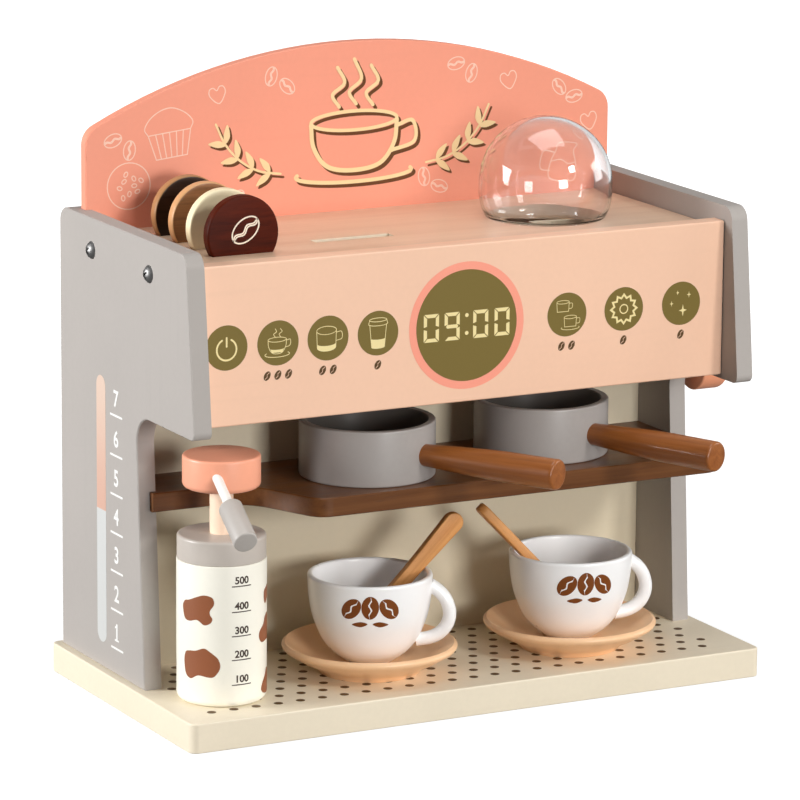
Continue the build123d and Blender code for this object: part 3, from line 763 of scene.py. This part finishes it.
def makeBottle():
    radius, low, shoulder = values(bottleLook, "radius low shoulder")
    place = standing(bottleLook["x"], bottleLook["y"], 0)
    mesh = cylinder(radius, low, shoulder, 3.5, 0.4)
    asPiece(mesh, "bottleBody", coats["bottle"], "bottle", place, "bottle_body")
    hole, radius, top = values(bottleLook, "lidHole lidRadius lidTop")
    points = [(hole, shoulder), (radius, shoulder), (radius, top), (hole, top), (hole, shoulder)]
    mesh = turned(rounded(points, [0, 0.5, 1.3, 0.4, 0], 8), 128)
    asPiece(mesh, "bottleLid", coats["lid"], "bottle", place, "bottle_lid")
    radius, low, top = values(bottleLook, "stemRadius stemLow stemTop")
    mesh = cylinder(radius, low, top, 0.5, 0.5, 6, 48)
    asPiece(mesh, "pumpStem", coats["stem"], "stem", place, "pump_stem")
    radius, low, top = values(bottleLook, "headRadius headLow headTop")
    mesh = cylinder(radius, low, top, 2.5, 1.1)
    asPiece(mesh, "pumpHead", coats["head"], "pump", place, "pump_head")


spoutLook = {
    "turn": -7.0,
    "drop": 26.6,
    "start": (-9.15, -15.5, 120.6),  # from the bottle's axis, and the height
    "rodRadius": 2.25,
    "rodFrom": -9.0,
    "rodTo": 31.5,
    "sleeveRadius": 5.5,
    "sleeveFrom": 19.5,
    "sleeveTo": 44.3,
}


def makeSpout():
    turn, drop = math.radians(spoutLook["turn"]), math.radians(spoutLook["drop"])
    along = Vector((math.sin(turn) * math.cos(drop), -math.cos(turn) * math.cos(drop), -math.sin(drop)))
    place = pointing(Vector((bottleLook["x"], bottleLook["y"], 0)) + Vector(spoutLook["start"]), along)
    radius, start, end = values(spoutLook, "rodRadius rodFrom rodTo")
    mesh = cylinder(radius, start, end, 0, 0, 0, 40)
    asPiece(mesh, "spoutRod", coats["rod"], "pump", place, "spout_rod")
    bore, floor = radius + 0.05, end + 0.1  # the rod's room in the sleeve
    radius, start, end = values(spoutLook, "sleeveRadius sleeveFrom sleeveTo")
    points = [(0, floor), (bore, floor), (bore, start), (radius, start), (radius, end), (0, end)]
    mesh = turned(rounded(points, [0, 0, 0.4, 0.8, 0.8, 0]), 64)
    asPiece(mesh, "spoutSleeve", coats["sleeve"], "pump", place, "spout_sleeve")


def onBottle(u, v, lift):  # u round the bottle from its right, v the height
    x, y, radius = values(bottleLook, "x y radius")
    angle = u / radius
    return Vector((x + (radius + lift) * math.cos(angle), y + (radius + lift) * math.sin(angle), v)) * mm


def roundBottle(angle):  # an angle in degrees as a length round the bottle
    return math.radians(angle) * bottleLook["radius"]


def bottlePrints():
    art = Print(onBottle, bottleLook["printLift"])
    for outline in bottleLook["blotches"]:
        corners = [(roundBottle(angle), high) for angle, high in outline]
        art.fill(smooth(corners, 6, True), 5)
    art.done("bottleBlotches", blotchInk, "bottle_paint", "bottle")
    art = Print(onBottle, bottleLook["printLift"])
    start, end, wide, size, rise = values(bottleLook, "markFrom markTo markWide numberHigh numberRise")
    start, end = roundBottle(start), roundBottle(end)
    for number, high in bottleLook["marks"].items():
        art.line([(start + (end - start) * k / 8, high) for k in range(9)], wide)
        art.number(number, size, ((start + end) / 2, high + rise), 0.04)
    art.done("bottleScale", markInk, "bottle_paint", "bottle")


makeBottle()
makeSpout()
bottlePrints()
print("bottle made")

# discs that stand in the top

discLook = {
    "x": -97.0,
    "z": 225.0,
    "radius": 18.0,
    "thick": 5.5,
    "places": [-19.9, -0.8, 18.3, 37.4],
    "mahogany": {"dark": shade(46, 10, 2), "pale": shade(94, 30, 8), "grain": (12, 120, 120)},
    "cream": {"colour": shade(244, 230, 192), "rough": 0.4, "drift": 0.03, "grain": (9, 300, 300)},
    "tan": {"dark": shade(108, 66, 30), "pale": shade(156, 104, 58), "grain": (10, 260, 260)},
    "tanRim": shade(208, 158, 108),
    "dark": {"dark": shade(30, 17, 8), "pale": shade(62, 38, 22), "grain": (10, 260, 260)},
    "darkRim": shade(166, 122, 80),
    "ink": {"colour": shade(238, 226, 206)},
    "bean": ((1.0, 2.0), 7.6, 5.0, 38),  # its middle, half length, half width and turn
    "printLine": 0.7,
    "printLift": 0.06,
}


def stained(name, coat, shine):  # a darker face in a paler rim
    rim = {"radius": discLook["radius"], "colour": discLook[name + "Rim"]}
    return woodCoat(name + " disc", **discLook[name], rough=0.4, pores=0.4, coat=coat, shine=shine, rim=rim)


discCoats = {
    "mahogany_disc": woodCoat("mahogany disc", **discLook["mahogany"], rough=0.46, pores=0.3, shine=0.1),
    "cream_disc": paintCoat("cream disc", **discLook["cream"]),
    "tan_disc": stained("tan", 0.2, 0.5),
    "dark_disc": stained("dark", 0.1, 0.25),
}
discInk = inkCoat("disc ink", **discLook["ink"])


def makeDisc(number, y, slot):
    half = discLook["thick"] / 2
    mesh = cylinder(discLook["radius"], -half, half, 1.0, 1.0, 6, 96)
    place = standing(discLook["x"], y, discLook["z"]) @ Matrix.Rotation(math.radians(90), 4, "X")
    body, node = f"coin_{number}", f"disc_{number}"
    asPiece(mesh, f"disc{number}", discCoats[slot], body, place, node)


def discPrint():
    front = discLook["places"][0] - discLook["thick"] / 2

    def onDisc(u, v, lift):
        return Vector((discLook["x"] + u, front - lift, discLook["z"] + v)) * mm

    art = Print(onDisc, discLook["printLift"])
    for half in beanShape(*discLook["bean"]):
        art.line(half, discLook["printLine"], True)
    art.done("discPrint", discInk, "mahogany_disc", "coin_1")


for number, (y, slot) in enumerate(zip(discLook["places"], discCoats), 1):
    makeDisc(number, y, slot)
discPrint()
print("discs made")

# clear dome

domeLook = {
    "x": 75.6,
    "y": 4.6,
    "radius": 31.9,
    "neck": 28.0,
    "wall": 1.5,
    "low": 208.7,  # heights of the neck's foot, the top panel, the widest place and the middle
    "panel": 215.6,
    "widest": 227.0,
    "centre": 232.0,
    "colour": (0.97, 0.975, 0.98, 1.0),
    # painted shade at the dome's outline
    "edgeShadeColour": (0.62, 0.63, 0.64, 1.0),
    "edgeSharp": 3.0,
    "rough": 0.0,
    "index": 1.48,
    "shadow": (0.87, 0.87, 0.87, 1.0),
    "rippleScale": 34,
    "rippleDeep": 0.12,
}
clearPlastic = clearCoat("clear plastic", domeLook)


def domeOutline(inset):
    radius, neck, low, panel, widest, centre = values(domeLook, "radius neck low panel widest centre")
    radius, neck, panel = radius - inset, neck - inset, panel + inset / 2
    shoulder = smooth([(neck + 1.0, panel + 0.6), (radius - 0.9, widest - 6), (radius, widest)], 8)
    return [(neck, low), (neck, panel), *shoulder, *arc((0, centre), radius, radius, 0, 90, 40)]


def makeDome():
    outline = [*reversed(domeOutline(domeLook["wall"])), *domeOutline(0)]
    place = standing(domeLook["x"], domeLook["y"], 0)
    asPiece(turned(outline, 160), "beanDome", clearPlastic, "dome", place, "bean_dome", 60)


makeDome()
print("dome made")

# side knob

knobLook = {
    "y": -8.0,
    "z": 140.3,
    "radius": 14.0,
    "start": 150.5,
    "end": 165.0,
    "paint": {"colour": shade(255, 170, 130), "rough": 0.38, "drift": 0.03, "grain": (12, 420, 420)},
}
knobPaint = paintCoat("knob paint", **knobLook["paint"], coat=0.1)


def makeKnob():
    start, end, y, z, radius = values(knobLook, "start end y z radius")
    mesh = cylinder(radius, 0, end - start, 0.8, 2.5, 8, 96)
    place = pointing((start, y, z), (1, 0, 0))
    asPiece(mesh, "sideKnob", knobPaint, "knob", place, "side_knob")


makeKnob()
print("knob made")

# prints on the fascia

printLook = {
    "olive": {"colour": shade(120, 103, 48), "rough": 0.5, "shine": 0.25},
    "pale": {"colour": shade(240, 222, 160), "rough": 0.42},
    "ring": {"colour": shade(250, 158, 134), "rough": 0.42},
    "dot": {"colour": shade(92, 66, 34), "rough": 0.5, "shine": 0.3},
    "front": -59.0,
    "lift": 0.05,  # how far a print stands off its board
    "upperLift": 0.09,  # and one that lies on another print
    "layer": 0.003,  # between strokes that cross, so none flicker
    "iconRadius": 10.4,
    "iconHigh": 181.4,
    "strengthHigh": 166.6,
    "strengthPitch": 5.4,
}
for name in ("olive", "pale", "ring", "dot"):
    coats[name] = inkCoat(name + " ink", **printLook[name])


def onFascia(u, v, lift):
    return Vector((u, printLook["front"] - lift, v)) * mm


fine = 0.3  # width of the icons' thin lines


def powerIcon(art):
    art.line(arc((0, -0.8), 4.9, 4.9, 118, 422, 40), 0.85)
    art.line([(0, 0.6), (0, 4.6)], 0.85)


def coffeeIcon(art):  # a cup with its saucer and steam
    art.fill([(-3.9, -2.5), *arc((-0.4, -2.5), 3.5, 0.6, 180, 360, 12), (2.2, -4.4), (-3.0, -4.4)])
    art.line(ring((-0.4, 1.6), 4.6, 1.1, 30), fine, True)
    art.line(smooth([(-5.0, 1.5), (-4.7, -1.6), (-2.6, -4.6), (1.8, -4.6), (3.9, -1.6), (4.2, 1.5)]), fine)
    art.line(smooth([(4.2, 1.0), (6.2, 1.2), (6.0, -1.4), (3.6, -2.2)]), fine)
    art.line(arc((-0.4, -5.2), 6.2, 1.3, 150, 390, 30), fine)
    art.line(smooth([(-1.4, 2.8), (-2.2, 4.2), (-0.8, 5.2), (-1.4, 6.6)]), fine)
    art.line(smooth([(1.2, 2.8), (0.6, 4.2), (2.0, 5.2), (1.2, 6.6)]), fine)


def mugIcon(art):
    art.fill([*arc((-0.8, -2.4), 4.7, 1.2, 180, 360, 16), *arc((-0.8, -4.2), 4.6, 1.7, 360, 180, 16)])
    art.line(ring((-0.8, 3.6), 5.0, 1.9, 36), fine, True)
    art.line([(-5.8, 3.6), *arc((-0.8, -4.2), 4.7, 1.8, 180, 360, 20), (4.2, 3.6)], fine)
    art.line(smooth([(4.2, 2.4), (6.8, 2.6), (7.0, -0.6), (4.2, -1.4)]), fine)


def beakerIcon(art):
    art.fill([*arc((0, -2.4), 3.75, 0.6, 180, 360, 14), *arc((0, -6.4), 3.25, 0.6, 360, 180, 14)])
    art.line(ring((0, 6.2), 4.4, 0.9, 30), fine, True)
    art.line(arc((0, 4.4), 4.9, 1.0, 180, 360, 16), fine)
    art.line([(-4.4, 6.0), (-4.9, 4.4)], fine)
    art.line([(4.4, 6.0), (4.9, 4.4)], fine)
    art.line([(-4.3, 4.0), *arc((0, -6.4), 3.3, 0.7, 180, 360, 14), (4.3, 4.0)], fine)


def pairIcon(art):  # two small cups, the lower one on a saucer
    thin = 0.26
    for step in ((-2.2, 3.9), (4.0, -7.3)):
        art.origin += Vector(step)
        art.line(ring((0, 2.1), 3.3, 0.8, 24), thin, True)
        art.line([(-3.3, 2.1), (-3.0, -2.4), (3.0, -2.4), (3.3, 2.1)], thin)
        art.line(smooth([(3.3, 1.4), (5.0, 1.2), (4.8, -0.9), (3.1, -1.1)], 5), thin)
    art.line(arc((0, -3.0), 4.8, 0.9, 160, 380, 20), thin)


def star(wide, high, inner, points):  # inner is how near the middle it comes between two tips
    outline = []
    for k in range(2 * points):
        share = inner if k % 2 else 1.0
        angle = math.pi * k / points
        outline.append((wide * share * math.sin(angle), high * share * math.cos(angle)))
    return outline


def wheelIcon(art):
    art.line(star(6.9, 6.9, 5.3 / 6.9, 12), 0.95, True)
    art.line(ring((0, 0), 2.1, 2.1, 30), 0.55, True)


def sparklesIcon(art):
    for x, y, size in ((1.0, -3.4, 2.9), (4.2, 3.9, 1.6), (-2.0, 5.2, 1.2), (-5.2, 0.2, 1.4)):
        art.fill(turnedAbout(star(0.75, 1.0, 0.3, 4), (x, y), 0, size))


icons = [  # each with its place and the beans below it, for the strength of the drink
    (powerIcon, -122.9, 0),
    (coffeeIcon, -97.2, 3),
    (mugIcon, -71.9, 2),
    (beakerIcon, -46.4, 1),
    (pairIcon, 52.4, 2),
    (wheelIcon, 82.9, 1),
    (sparklesIcon, 114.0, 1),
]


def fasciaIcons():
    lift, upper, layer = values(printLook, "lift upperLift layer")
    discs, marks, beans = Print(onFascia, lift), Print(onFascia, upper, layer), Print(onFascia, lift)
    for draw, x, count in icons:
        discs.disc((x, printLook["iconHigh"]), printLook["iconRadius"], 60)
        marks.origin = Vector((x, printLook["iconHigh"]))
        marks.lift = upper
        draw(marks)
        for k in range(count):
            middle = (x + (k - (count - 1) / 2) * printLook["strengthPitch"], printLook["strengthHigh"])
            for half in beanShape(middle, 2.3, 1.55, 62):
                beans.fill(half)
    beans.done("strengthBeans", coats["dot"], "peach_paint")
    discs.done("iconDiscs", coats["olive"], "peach_paint")
    marks.done("iconMarks", coats["pale"], "peach_paint")


displayLook = {
    "x": -0.5,
    "z": 181.0,
    "outer": 29.9,
    "inner": 26.2,
    "lift": 0.13,
    "digitWide": 7.9,
    "digitHigh": 13.1,
    "bar": 1.7,
    "gap": 0.28,
    "starts": [-22.9, -12.1, 2.8, 14.0],
    "low": 174.6,
    "digits": ["abcdef", "abcdfg", "abcdef", "abcdef"],  # the bars that are lit
    "points": [177.4, 185.8],
    "pointRadius": 0.95,
}


def digitBars():  # the outline of each bar of a digit
    wide, high, bar, gap = values(displayLook, "digitWide digitHigh bar gap")
    middle, right, slant = high / 2, wide - bar, gap + bar
    top = [(wide - gap, high), (gap, high), (slant, high - bar), (wide - slant, high - bar)]
    upper = [(wide, middle + gap + 0.2), (wide, high - gap), (right, high - slant), (right, middle + 1.0)]
    inset = 0.5 + bar / 2
    half = [(wide - inset, middle + bar / 2), (inset, middle + bar / 2), (0.5 + gap, middle)]

    def mirrored(points, across, down):
        points = [(wide - u if across else u, high - v if down else v) for u, v in points]
        return points if across == down else points[::-1]  # so that all face to the front

    return {
        "a": top,
        "b": upper,
        "c": mirrored(upper, False, True),
        "d": mirrored(top, False, True),
        "e": mirrored(upper, True, True),
        "f": mirrored(upper, True, False),
        "g": half + mirrored(half, True, True),
    }


def fasciaDisplay():
    x, z, outer, inner = values(displayLook, "x z outer inner")
    rim, face = Print(onFascia, printLook["lift"]), Print(onFascia, printLook["upperLift"])
    rim.disc((x, z), outer, 120)
    rim.done("displayRing", coats["ring"], "peach_paint")
    face.disc((x, z), inner, 120)
    face.done("displayFace", coats["olive"], "peach_paint")
    digits, bars = Print(onFascia, displayLook["lift"]), digitBars()
    for start, lit in zip(displayLook["starts"], displayLook["digits"]):
        digits.origin = Vector((start, displayLook["low"]))
        for name in lit:
            digits.fill(bars[name])
    digits.origin = Vector((x, 0))
    for high in displayLook["points"]:
        digits.disc((0, high), displayLook["pointRadius"], 24)
    digits.done("displayDigits", coats["pale"], "peach_paint")


fasciaIcons()
fasciaDisplay()

# dots on the base board

dotLook = {
    "top": 14.0,
    "radius": 2.15,
    "pitchX": 11.28,
    "pitchY": 10.75,
    "front": -64.3,
    "rows": 8,
    "columns": 24,
    "starts": (-132.96, -127.32),  # of even and odd rows
}


def onBase(u, v, lift):
    return Vector((u, v, dotLook["top"] + lift)) * mm


def baseDots():
    art = Print(onBase, printLook["lift"])
    front, rows, columns, pitchX, pitchY = values(dotLook, "front rows columns pitchX pitchY")
    for row in range(rows):
        start = dotLook["starts"][row % 2]
        for column in range(columns):
            art.disc((start + column * pitchX, front + row * pitchY), dotLook["radius"], 18)
    art.done("baseDots", coats["dot"], "cream_paint")


baseDots()

# gauge on the left side

gaugeLook = {
    "side": -145.8,
    "y": 28.3,
    "half": 5.15,
    "low": 26.0,
    "high": 154.0,
    "level": 90.0,
    "numberY": 11.5,
    "numbers": {7: 145.5, 6: 126.5, 5: 107.8, 4: 89.4, 3: 71.0, 2: 52.4, 1: 34.0},
    "numberHigh": 8.0,
    "heavy": 0.03,
    "serif": 0.95,  # width of the strokes that the 1 gets
    "tickFrom": 17.6,
    "tickTo": 4.8,
    "tickDrop": 7.6,
    "tickWide": 1.05,
    "marks": {"colour": shade(240, 239, 236), "rough": 0.42},
    "tube": {"colour": shade(205, 206, 204), "rough": 0.42},
    "peachLow": shade(212, 168, 148),
    "peachHigh": shade(219, 192, 174),
}


def gaugeCoat():  # the filled part grows paler towards its top
    coat = Coat("gauge peach")
    place = coat.place()
    fade = coat.between(coat.part(place, "Z"), gaugeLook["level"] * mm, gaugeLook["high"] * mm)
    speck = coat.noise(place, 420, 2)
    body = coat.mixed(fade, gaugeLook["peachLow"], gaugeLook["peachHigh"])
    body = coat.mixed(speck * 0.1, body, gaugeLook["tube"]["colour"])
    return coat.done(coat.surface(body, 0.38 + speck * 0.1, coat.bump(speck, 0.04, 0.3), gloss(0.4, 0, 0)))


gaugePeach = gaugeCoat()
for name in ("tube", "marks"):
    coats[name] = inkCoat("gauge " + name, **gaugeLook[name])


def onLeftSide(u, v, lift):  # u runs towards the front, so that numbers read from outside
    return Vector((gaugeLook["side"] - lift, -u, v)) * mm


def gaugeNumbers():
    art = Print(onLeftSide, printLook["lift"])
    middle, high, heavy, serif = values(gaugeLook, "numberY numberHigh heavy serif")
    start, end, drop, wide = values(gaugeLook, "tickFrom tickTo tickDrop tickWide")
    for number, place in gaugeLook["numbers"].items():
        art.origin = Vector((0, place))
        art.number(number, high, (-middle, 0), heavy)
        art.line([(-start, -drop), (-end, -drop)], wide)
    # the 1 gets a flag and a foot, each on a layer of its own
    art.lift, art.layer = printLook["lift"] + printLook["layer"], printLook["layer"]
    art.origin = Vector((-middle, gaugeLook["numbers"][1]))
    top, foot = high / 2 - 0.5, 0.45 - high / 2
    art.line([(0, top), (-1.7, top - 1.0)], serif)
    art.line([(-1.9, foot), (1.9, foot)], serif)
    art.done("gaugeNumbers", coats["marks"], "grey_paint")


def sideGauge():
    y, half, low, high, level = values(gaugeLook, "y half low high level")
    right, left = (half - y, level), (-half - y, level)
    art = Print(onLeftSide, printLook["lift"])
    art.fill([*arc((-y, low + half), half, half, 180, 360), right, left])
    art.done("gaugeTube", coats["tube"], "grey_paint")
    gaugeNumbers()
    art = Print(onLeftSide, printLook["lift"])
    art.fill([left, right, *arc((-y, high - half), half, half, 0, 180)])
    art.done("gaugePeach", gaugePeach, "grey_paint")


sideGauge()
print("fascia, base and gauge printed")

# artwork on the sign

signLook = {
    "front": 57.5,
    "line": {"colour": shade(250, 205, 184), "rough": 0.46},
    "cream": {"colour": shade(246, 214, 160), "rough": 0.46},
    "shadow": {"colour": shade(102, 62, 30), "rough": 0.5, "shine": 0.2},
    "lifts": [(0.04, 0.003), (0.11, 0.004), (0.03, 0.0002)],  # shadow, cream and thin lines, and a layer
    "leafLifts": [(0.075, 0.001), (0.16, 0.002)],  # shadow and cream
    "drop": (1.5, -1.7),  # of the shadow
    "leafDrop": 0.8,  # the share of it for the leaves, which lie flatter
    "thin": 0.5,
}
signInks = {name: inkCoat("sign " + name, **signLook[name]) for name in ("line", "cream", "shadow")}


def onSign(u, v, lift):
    return Vector((u, signLook["front"] - lift, v)) * mm


def flipped(points, way):
    return [Vector((point[0] * way, point[1])) for point in points]


def signCup():  # the large cup in the middle: strokes as (line, width, closed)
    bowl = [(-23, 258), (-21.5, 247), (-14, 237.5), (0, 235), (14, 237.5), (21.5, 247), (23, 258)]
    strokes = [
        (ring((0, 259), 23, 4.6, 48), 1.7, True),
        (smooth(bowl, 8), 2.2, False),
        (smooth([(22.6, 255), (31.5, 257), (32.5, 247), (19.4, 243)], 8), 1.9, False),
        (arc((0, 233.4), 31, 4.0, 168, 372, 48), 1.9, False),
    ]
    for steam in (  # three wisps
        [(-8, 266), (-11.6, 272), (-5.2, 277.5), (-9, 285)],
        [(1, 267), (-2.6, 273), (3.8, 279), (0, 288.5)],
        [(10, 266), (6.4, 272), (12.8, 277.5), (9, 285)],
    ):
        strokes.append((smooth(steam, 8), 1.8, False))
    return strokes


def signSprigs():  # a sprig on each side of it: stems, then leaves
    stem = smooth([(39, 236), (50, 238), (60, 243.5), (68, 252), (73, 262)])
    leaf = smooth([(0, 0), (3.8, 2.0), (9.2, 0), (3.8, -1.4)], 5, True)
    stems, leaves = [], []
    for way in (1, -1):
        stems.append((flipped(stem, way), 1.1, False))
        for spot, slope in ((3, 8), (8, 20), (13, 38), (18, 52)):
            for side in (1, -1):
                grown = turnedAbout(leaf, stem[spot] + Vector((0, side * 0.4)), slope + side * 44)
                leaves.append(flipped(grown, way))
    return stems, leaves


def thinDrawings():  # pale line drawings round it, as (line, closed)
    lines = []

    def put(points, centre, turn=0, size=1.0, closed=True):
        lines.append((turnedAbout(points, centre, turn, size), closed))

    pairs = [(-126, 258, 20), (-44, 283, 75), (55, 283, 12), (112, 268, 130), (-62, 226, 40), (38, 229, 100)]
    for x, y, turn in pairs:  # beans, two by two
        for dx, dy, more in ((0, 0, 0), (8.4, -5.2, 62)):
            for half in beanShape((x + dx, y + dy), 4.6, 3.0, turn + more):
                lines.append((half, True))
    right = [(0, 0.5), (0.4, 0.9), (0.9, 0.75), (0.95, 0.0)]
    heart = smooth([(0, -1.0), *reversed(flipped(right[1:], -1)), *right], 5, True)
    for x, y, size in ((-72, 276, 4.2), (84, 273, 4.4), (129, 250, 4.4)):
        put(heart, (x, y), 12, size)
    biscuit = Vector((-118, 236))
    put(ring((0, 0), 11, 11, 36), biscuit)
    for k in range(9):  # its crumbs lie on a spiral
        reach, angle = 7.0 * (0.4 + 0.07 * k), k * 2.4
        crumb = Vector((reach * math.cos(angle), reach * math.sin(angle)))
        put(ring((0, 0), 1.3, 0.9, 12), biscuit + crumb, 40 * k)
    bun = [(-11, 0), (-12.5, 3.5), (-9, 8), (-3, 11), (3, 11.2), (9, 8), (12.5, 3.5), (11, 0)]
    bunPlace = (-97, 260)
    put(smooth(bun, 5), bunPlace, 6, closed=False)
    put([(-11, 0), (-8, -12), (8, -12), (11, 0)], bunPlace, 6)  # its paper, and the folds
    for k in range(-2, 3):
        put([(k * 3.6, 0), (k * 2.7, -12)], bunPlace, 6, closed=False)
    jug = [(-7, -10), (7, -10), (8, -2), (5.5, 6), (7.5, 11), (-4, 9.6), (-5.5, 5), (-8, -2)]
    jugPlace = (116, 232)
    put(smooth(jug, 5, True), jugPlace, -8)
    handle = [(-6.5, 4), (-13, 4), (-13.5, -5), (-7.6, -6)]
    milk = [(-7.6, -1), (-2, 0.4), (3, -1.4), (7.6, 0)]
    for line in (handle, milk):
        put(smooth(line, 5), jugPlace, -8, closed=False)
    return lines


def signArt():
    brown, cream, thin = (Print(onSign, *look) for look in signLook["lifts"])
    stems, leaves = signSprigs()
    brown.origin = Vector(signLook["drop"])
    for stroke in signCup() + stems:
        brown.line(*stroke)
        cream.line(*stroke)
    brown.origin *= signLook["leafDrop"]
    for art, (lift, layer) in zip((brown, cream), signLook["leafLifts"]):
        for number, leaf in enumerate(leaves):
            art.lift = lift + layer * number
            art.fill(leaf)
    for line, closed in thinDrawings():
        thin.line(line, signLook["thin"], closed)
    brown.done("signShadow", signInks["shadow"], "coral_paint")
    cream.done("signCream", signInks["cream"], "coral_paint")
    thin.done("signLines", signInks["line"], "coral_paint")


signArt()
print("sign printed")

# floor, light and camera

white = (1.0, 1.0, 1.0, 1.0)
roomLook = {
    "floorColour": (0.22, 0.22, 0.22, 1.0),  # what lights the part from below
    "shadowColour": (0.9, 0.9, 0.9, 1.0),
    "floorWhite": 0.6,  # how far the camera sees the floor near the part as plain white
    "nearEnd": 0.3,
    "farStart": 0.9,
    "whiteLevel": 1.3,
    "sky": (0.98, 0.99, 1.0, 1.0),
    "skyStrength": 0.09,
    "mirrored": 0.22,  # the white that shiny surfaces mirror
}


def makeFloor():
    coat = Coat("floor")
    plain = coat.node("ShaderNodeBsdfDiffuse", {}, {"Color": roomLook["floorColour"]})
    shadow = coat.node("ShaderNodeBsdfDiffuse", {}, {"Color": roomLook["shadowColour"]})
    bright = coat.node("ShaderNodeEmission", {}, {"Color": white, "Strength": roomLook["whiteLevel"]})
    away = coat.vector("LENGTH", coat.place(), output="Value")
    far, least = coat.between(away, roomLook["nearEnd"], roomLook["farStart"]), roomLook["floorWhite"]
    seen = coat.either(far * (1 - least) + least, shadow, bright)
    both = coat.either(coat.rays("Is Camera Ray", "Is Transmission Ray"), plain, seen)
    mesh = bmesh.new()
    bmesh.ops.create_grid(mesh, x_segments=1, y_segments=1, size=8)
    floor = added(mesh, "floor", coat.done(both))


def makeSky():
    sky = Coat("studio", "worlds")

    def glow(colour, strength):
        return sky.node("ShaderNodeBackground", {}, {"Color": colour, "Strength": strength})

    light = glow(roomLook["sky"], roomLook["skyStrength"])
    light = sky.either(sky.rays("Is Glossy Ray"), light, glow(white, roomLook["mirrored"]))
    both = sky.either(sky.rays("Is Camera Ray", "Is Transmission Ray"), light, glow(white, 1.0))
    bpy.context.scene.world = sky.done(both, "ShaderNodeOutputWorld")


lampLook = {
    "key": {"place": (0.85, -1.85, 1.25), "size": 0.4, "power": 18.5, "colour": (1.0, 0.98, 0.95)},
    "front": {"place": (0.15, -2.3, 0.46), "size": 0.6, "power": 26.5, "colour": (1.0, 0.99, 0.98)},
    "left": {"place": (-2.0, 0.7, 0.6), "size": 0.9, "power": 57},
    "right": {"place": (2.1, -0.45, 0.6), "size": 0.8, "power": 11},
    "top": {"place": (0.1, 0.0, 1.8), "size": 1.1, "power": 11},
}


def makeLamps():
    for name, look in lampLook.items():
        data = bpy.data.lights.new(name, "AREA")
        data.shape = "SQUARE"
        data.size = look["size"]
        data.energy = look["power"]
        data.color = look.get("colour", (1.0, 1.0, 1.0))
        lamp = bpy.data.objects.new(name, data)
        bpy.context.scene.collection.objects.link(lamp)
        lamp.location = look["place"]
        towards = Vector((0, 0, 0.14)) - Vector(look["place"])
        lamp.rotation_euler = towards.to_track_quat("-Z", "Y").to_euler()


cameraLook = {
    "aim": (-0.004768, -0.001406, 0.134528),
    "azimuth": 27.550,
    "elevation": 12.574,
    "roll": 0.454,
    "distance": 2.3375,
    "lens": 222.8,
}


def makeCamera():
    data = bpy.data.cameras.new("camera")
    data.lens = cameraLook["lens"]
    data.sensor_width = 36
    camera = bpy.data.objects.new("camera", data)
    bpy.context.scene.collection.objects.link(camera)
    turn, tilt, roll = (math.radians(angle) for angle in values(cameraLook, "azimuth elevation roll"))
    ahead = Vector((math.sin(turn) * math.cos(tilt), math.cos(turn) * math.cos(tilt), -math.sin(tilt)))
    camera.location = Vector(cameraLook["aim"]) - ahead * cameraLook["distance"]
    level = ahead.to_track_quat("-Z", "Y").to_matrix()
    camera.rotation_euler = (level @ Matrix.Rotation(roll, 3, "Z")).to_euler()
    bpy.context.scene.camera = camera


makeFloor()
makeSky()
makeLamps()
makeCamera()
bpy.context.scene.view_settings.view_transform = "Standard"
print("room, light and camera set")
